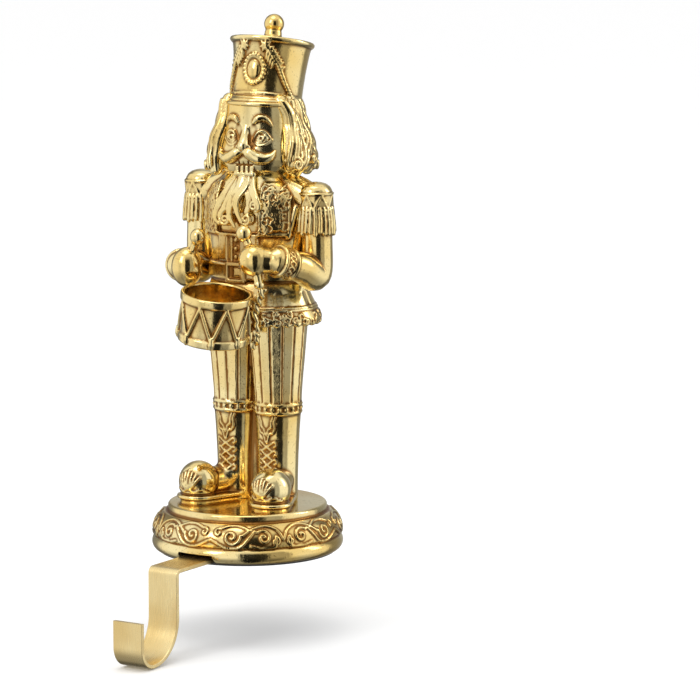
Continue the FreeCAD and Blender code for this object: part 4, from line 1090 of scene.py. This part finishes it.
hat.tube([on_hat(a, 3.1, 0.15) for a in range(-176, -3, 4)], 0.5, 8)
medallion = 14.2


def badge_point(x, z, proud=0.0):
    """A point on the hat's front by sideways place and rise."""
    radius = hat_radius(z) + proud
    return (x, -math.sqrt(radius * radius - x * x), z)


hat.ball(badge_point(0, medallion, -0.5), (3.4, 1.7, 4.7), sides=32)
ring = [badge_point(4.3 * math.cos(a), medallion + 5.7 * math.sin(a), 0.1)
        for a in np.linspace(0, 2 * math.pi, 41)]
hat.tube(ring, 0.45, 8)
beads = 22
for index in range(beads):
    a = 2 * math.pi / beads * index
    hat.ball(badge_point(5.3 * math.cos(a), medallion + 6.8 * math.sin(a), 0.2), 0.8, sides=12)


def leaf(clay, start, end, radius):
    """A small pointed leaf that swells in its middle."""
    path = smooth_path([start, (np.asarray(start) + end) / 2, end], 4)
    clay.tube(path, np.interp(np.linspace(0, 1, len(path)), (0, 0.4, 1), (0.35, 1.0, 0.3)) * radius, 8)


swag = ((17, 25.2), (29, 20.6), (39, 16.6), (47, 12.0), (58, 6.6), (76, 0.6))
petals = 7
for side in (-1, 1):
    knot_off, knot_rise = swag[0]
    for petal in range(petals):
        spin = math.radians(360 / petals * petal + 90)
        tip = on_hat(-90 + side * (knot_off + 8.0 * math.cos(spin)), knot_rise + 2.9 * math.sin(spin), 0.8)
        leaf(hat, on_hat(-90 + side * knot_off, knot_rise, 0.3), np.array(tip), 1.15)
    hat.ball(on_hat(-90 + side * knot_off, knot_rise, 0.5), (1.2, 1.2, 1.2), sides=14)
    rope(hat, [on_hat(-90 + side * off, rise, 0.5) for off, rise in swag], 1.15, 3.0)
    for index in range(7):
        off = 22 + 3.4 * index
        rise = float(np.interp(off, [o for o, _ in swag], [r for _, r in swag]))
        root_point = on_hat(-90 + side * off, rise + 0.6, 0.5)
        leaf(hat, root_point, np.array(on_hat(-90 + side * (off + 7.5), rise + 1.8, 1.0)), 1.05)
        if index < 4:
            leaf(hat, root_point, np.array(on_hat(-90 + side * (off - 3.5), rise - 4.4, 0.9)), 0.95)
hat.move(hat_turn, shift=hat_at)
cast("shako_hat", hat, voxel=0.34, triangles=82000)

# Hook arm.
# One flat steel bar bent square over the mantel's edge and rolled into a J, brass-plated and brushed
# along its length. It keeps its own solid, with a satin plated finish.


def make_plated_strip():
    light = (0.93, 0.76, 0.40, 1)
    dark = (0.78, 0.57, 0.24, 1)
    material = bpy.data.materials.new("brassed_steel")
    material.use_nodes = True
    tree = material.node_tree
    shader = tree.nodes["Principled BSDF"]
    leaf = tree.nodes.new("ShaderNodeGroup")
    leaf.node_tree = leaf_surface
    leaf.inputs["Pit Scale"].default_value = 1500.0
    leaf.inputs["Mottle Scale"].default_value = 420.0
    place = tree.nodes.new("ShaderNodeTexCoord")
    stretch = tree.nodes.new("ShaderNodeMapping")
    stretch.inputs["Scale"].default_value = (5200.0, 180.0, 180.0)
    wire(tree, place, "Object", stretch, "Vector")
    lines = tree.nodes.new("ShaderNodeTexNoise")
    lines.inputs["Scale"].default_value = 1.0
    lines.inputs["Detail"].default_value = 3.0
    wire(tree, stretch, "Vector", lines, "Vector")
    brushed = range_node(tree, lines, "Fac", 0.35, 0.68, 0.0, 1.0)
    toned = mix_colour(tree, leaf, "Tone", light, dark)
    streaked = mix_colour(tree, range_node(tree, brushed, "Result", 0, 1, 0.0, 0.3), "Result", toned, dark)
    tree.links.new(streaked, shader.inputs["Base Color"])
    shader.inputs["Metallic"].default_value = 1.0
    wire(tree, range_node(tree, brushed, "Result", 0, 1, 0.25, 0.36), "Result", shader, "Roughness")
    bump = tree.nodes.new("ShaderNodeBump")
    bump.inputs["Strength"].default_value = 0.25
    bump.inputs["Distance"].default_value = 0.00006
    wire(tree, brushed, "Result", bump, "Height")
    wire(tree, bump, "Normal", shader, "Normal")
    return material


def dress(node, material):
    """Gives a solid from the frame its finish."""
    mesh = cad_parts[node].data
    mesh.materials.clear()
    mesh.materials.append(material)


dress("hook_arm", make_plated_strip())

# Screws.
# Two countersunk screws under the strip, zinc-plated steel, driven up into the casting.


def make_zinc():
    material = bpy.data.materials.new("zinc_steel")
    material.use_nodes = True
    tree = material.node_tree
    shader = tree.nodes["Principled BSDF"]
    place = tree.nodes.new("ShaderNodeTexCoord")
    bloom = noise_node(tree, place, 900.0, 3.0)
    tree.links.new(mix_colour(tree, bloom, "Fac", (0.42, 0.42, 0.43, 1), (0.66, 0.66, 0.66, 1)),
                   shader.inputs["Base Color"])
    shader.inputs["Metallic"].default_value = 1.0
    wire(tree, range_node(tree, bloom, "Fac", 0.3, 0.7, 0.28, 0.45), "Result", shader, "Roughness")
    return material


dress("arm_screws", make_zinc())

# Pad.
# A thin black felt disc glued under the base, so that it doesn't scratch or slide on the mantel.


def make_felt():
    material = bpy.data.materials.new("black_felt")
    material.use_nodes = True
    tree = material.node_tree
    shader = tree.nodes["Principled BSDF"]
    place = tree.nodes.new("ShaderNodeTexCoord")
    fibres = noise_node(tree, place, 2600.0, 4.0, 0.7)
    tree.links.new(mix_colour(tree, fibres, "Fac", (0.012, 0.012, 0.012, 1), (0.05, 0.048, 0.045, 1)),
                   shader.inputs["Base Color"])
    shader.inputs["Roughness"].default_value = 0.95
    shader.inputs["Sheen Weight"].default_value = 0.3
    bump = tree.nodes.new("ShaderNodeBump")
    bump.inputs["Strength"].default_value = 0.6
    bump.inputs["Distance"].default_value = 0.0002
    wire(tree, fibres, "Fac", bump, "Height")
    wire(tree, bump, "Normal", shader, "Normal")
    return material


dress("base_pad", make_felt())

# Stage.
# A pale floor just under the hook, soft studio lights, a room of bright and dark screens that shows in
# the gold, and the camera at the photograph's angle and distance.


def make_floor():
    """A pale floor, a little brighter to the camera alone, so that it is white away from the shadow."""
    material = bpy.data.materials.new("pale_floor")
    material.use_nodes = True
    tree = material.node_tree
    shader = tree.nodes["Principled BSDF"]
    place = tree.nodes.new("ShaderNodeTexCoord")
    grain = noise_node(tree, place, 60.0, 3.0)
    tree.links.new(mix_colour(tree, grain, "Fac", (0.965, 0.965, 0.965, 1), (0.985, 0.985, 0.985, 1)),
                   shader.inputs["Base Color"])
    shader.inputs["Roughness"].default_value = 0.9
    sight = tree.nodes.new("ShaderNodeLightPath")
    lift = range_node(tree, sight, "Is Camera Ray", 0.0, 1.0, 0.0, 0.04)
    shader.inputs["Emission Color"].default_value = (1, 1, 1, 1)
    wire(tree, lift, "Result", shader, "Emission Strength")
    return material


strip_low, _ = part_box("hook_arm")
floor_reach, floor_gap = 20.0, 0.0005
floor_z = strip_low.z - floor_gap
corners = [(x * floor_reach, y * floor_reach, floor_z) for x, y in ((-1, -1), (1, -1), (1, 1), (-1, 1))]
floor_mesh = bpy.data.meshes.new("floor")
floor_mesh.from_pydata(corners, [], [(0, 1, 2, 3)])
floor = bpy.data.objects.new("floor", floor_mesh)
bpy.context.scene.collection.objects.link(floor)
floor_mesh.materials.append(make_floor())
floor.visible_glossy = False

azimuth, pitch = math.radians(31.8), math.radians(8.3)
right = Vector((math.cos(azimuth), math.sin(azimuth), 0))
up = Vector((-math.sin(azimuth) * math.sin(pitch), math.cos(azimuth) * math.sin(pitch), math.cos(pitch)))
back = right.cross(up)
focal_px, image_px, depth = 3400.0, 700.0, 1.62
base_px = (247.8, 548.0)
origin_in_view = (Vector((0, 0, 0)) - right * ((base_px[0] - image_px / 2) / focal_px * depth)
                  + up * ((base_px[1] - image_px / 2) / focal_px * depth))
camera_data = bpy.data.cameras.new("camera")
camera_data.sensor_width = 36.0
camera_data.lens = focal_px * camera_data.sensor_width / image_px
camera_data.clip_start = 0.05
camera_data.clip_end = 50.0
camera = bpy.data.objects.new("camera", camera_data)
camera.matrix_world = Matrix((
    (right.x, up.x, back.x, 0), (right.y, up.y, back.y, 0), (right.z, up.z, back.z, 0), (0, 0, 0, 1)))
camera.location = origin_in_view + back * depth
bpy.context.scene.collection.objects.link(camera)
bpy.context.scene.camera = camera


light_aim = Vector((0, 0, 0.1))


def add_light(name, offset_right, offset_up, offset_back, size, power):
    """A soft box aimed at the figure, placed by metres from it as the camera sees them."""
    data = bpy.data.lights.new(name, "AREA")
    data.shape = "RECTANGLE"
    data.size, data.size_y = size
    data.energy = power
    light = bpy.data.objects.new(name, data)
    light.location = light_aim + right * offset_right + Vector((0, 0, 1)) * offset_up + back * offset_back
    light.rotation_euler = (light_aim - light.location).to_track_quat("-Z", "Y").to_euler()
    bpy.context.scene.collection.objects.link(light)


add_light("key_left", -1.1, 0.9, 1.1, (0.5, 0.9), 5.0)
add_light("fill_right", 1.5, 0.7, -0.1, (0.35, 0.9), 3.0)
add_light("top", -0.2, 1.6, 0.2, (0.8, 0.8), 4.0)

# Brightness of the room in reflections, by degrees to the right of the camera as seen from the figure.
room_by_angle = ((-180, 0.5), (-158, 0.2), (-140, 0.25), (-125, 0.95), (-70, 1.0), (-48, 0.7), (-32, 1.0),
                 (-10, 1.0), (-8, 0.02), (25, 0.02), (29, 0.45), (52, 0.38), (58, 1.0), (112, 1.0),
                 (122, 0.22), (150, 0.3), (180, 0.5))


def make_world():
    """Plain white for the eye and the light, and a studio of bright and dark screens for reflections."""
    world = bpy.data.worlds.new("studio")
    bpy.context.scene.world = world
    world.use_nodes = True
    tree = world.node_tree
    tree.nodes.clear()
    out = tree.nodes.new("ShaderNodeOutputWorld")
    paths = tree.nodes.new("ShaderNodeLightPath")
    place = tree.nodes.new("ShaderNodeTexCoord")

    def along(direction):
        node = tree.nodes.new("ShaderNodeVectorMath")
        node.operation = "DOT_PRODUCT"
        node.inputs[1].default_value = direction
        wire(tree, place, "Generated", node, 0)
        return node

    level_back = Vector((back.x, back.y, 0)).normalized()
    bearing = tree.nodes.new("ShaderNodeMath")
    bearing.operation = "ARCTAN2"
    wire(tree, along(right), "Value", bearing, 0)
    wire(tree, along(level_back), "Value", bearing, 1)
    share = range_node(tree, bearing, "Value", -math.pi, math.pi, 0.0, 1.0)
    ramp = tree.nodes.new("ShaderNodeValToRGB")
    wire(tree, share, "Result", ramp, "Fac")
    stops = ramp.color_ramp.elements
    for stop, (_, value) in ((stops[0], room_by_angle[0]), (stops[1], room_by_angle[-1])):
        stop.color = (value, value, value, 1)
    for angle, value in room_by_angle[1:-1]:
        stops.new((angle + 180) / 360).color = (value, value, value, 1)
    height = along((0, 0, 1))
    floor_fade = range_node(tree, height, "Value", -0.72, -0.24, 0.34, 1.0)
    ceiling = range_node(tree, height, "Value", 0.5, 0.8, 0.0, 0.9)
    walls = tree.nodes.new("ShaderNodeMath")
    walls.operation = "MULTIPLY"
    wire(tree, ramp, "Color", walls, 0)
    wire(tree, floor_fade, "Result", walls, 1)
    room = tree.nodes.new("ShaderNodeMath")
    room.operation = "MAXIMUM"
    wire(tree, ceiling, "Result", room, 0)
    wire(tree, walls, "Value", room, 1)
    reflected = tree.nodes.new("ShaderNodeBackground")
    wire(tree, room, "Value", reflected, "Color")
    reflected.inputs["Strength"].default_value = 1.0
    plain = tree.nodes.new("ShaderNodeBackground")
    plain.inputs["Color"].default_value = (1, 1, 1, 1)
    plain.inputs["Strength"].default_value = 1.0
    mix = tree.nodes.new("ShaderNodeMixShader")
    wire(tree, paths, "Is Glossy Ray", mix, 0)
    tree.links.new(plain.outputs[0], mix.inputs[1])
    tree.links.new(reflected.outputs[0], mix.inputs[2])
    tree.links.new(mix.outputs[0], out.inputs[0])


make_world()
bpy.context.scene.view_settings.view_transform = "Standard"
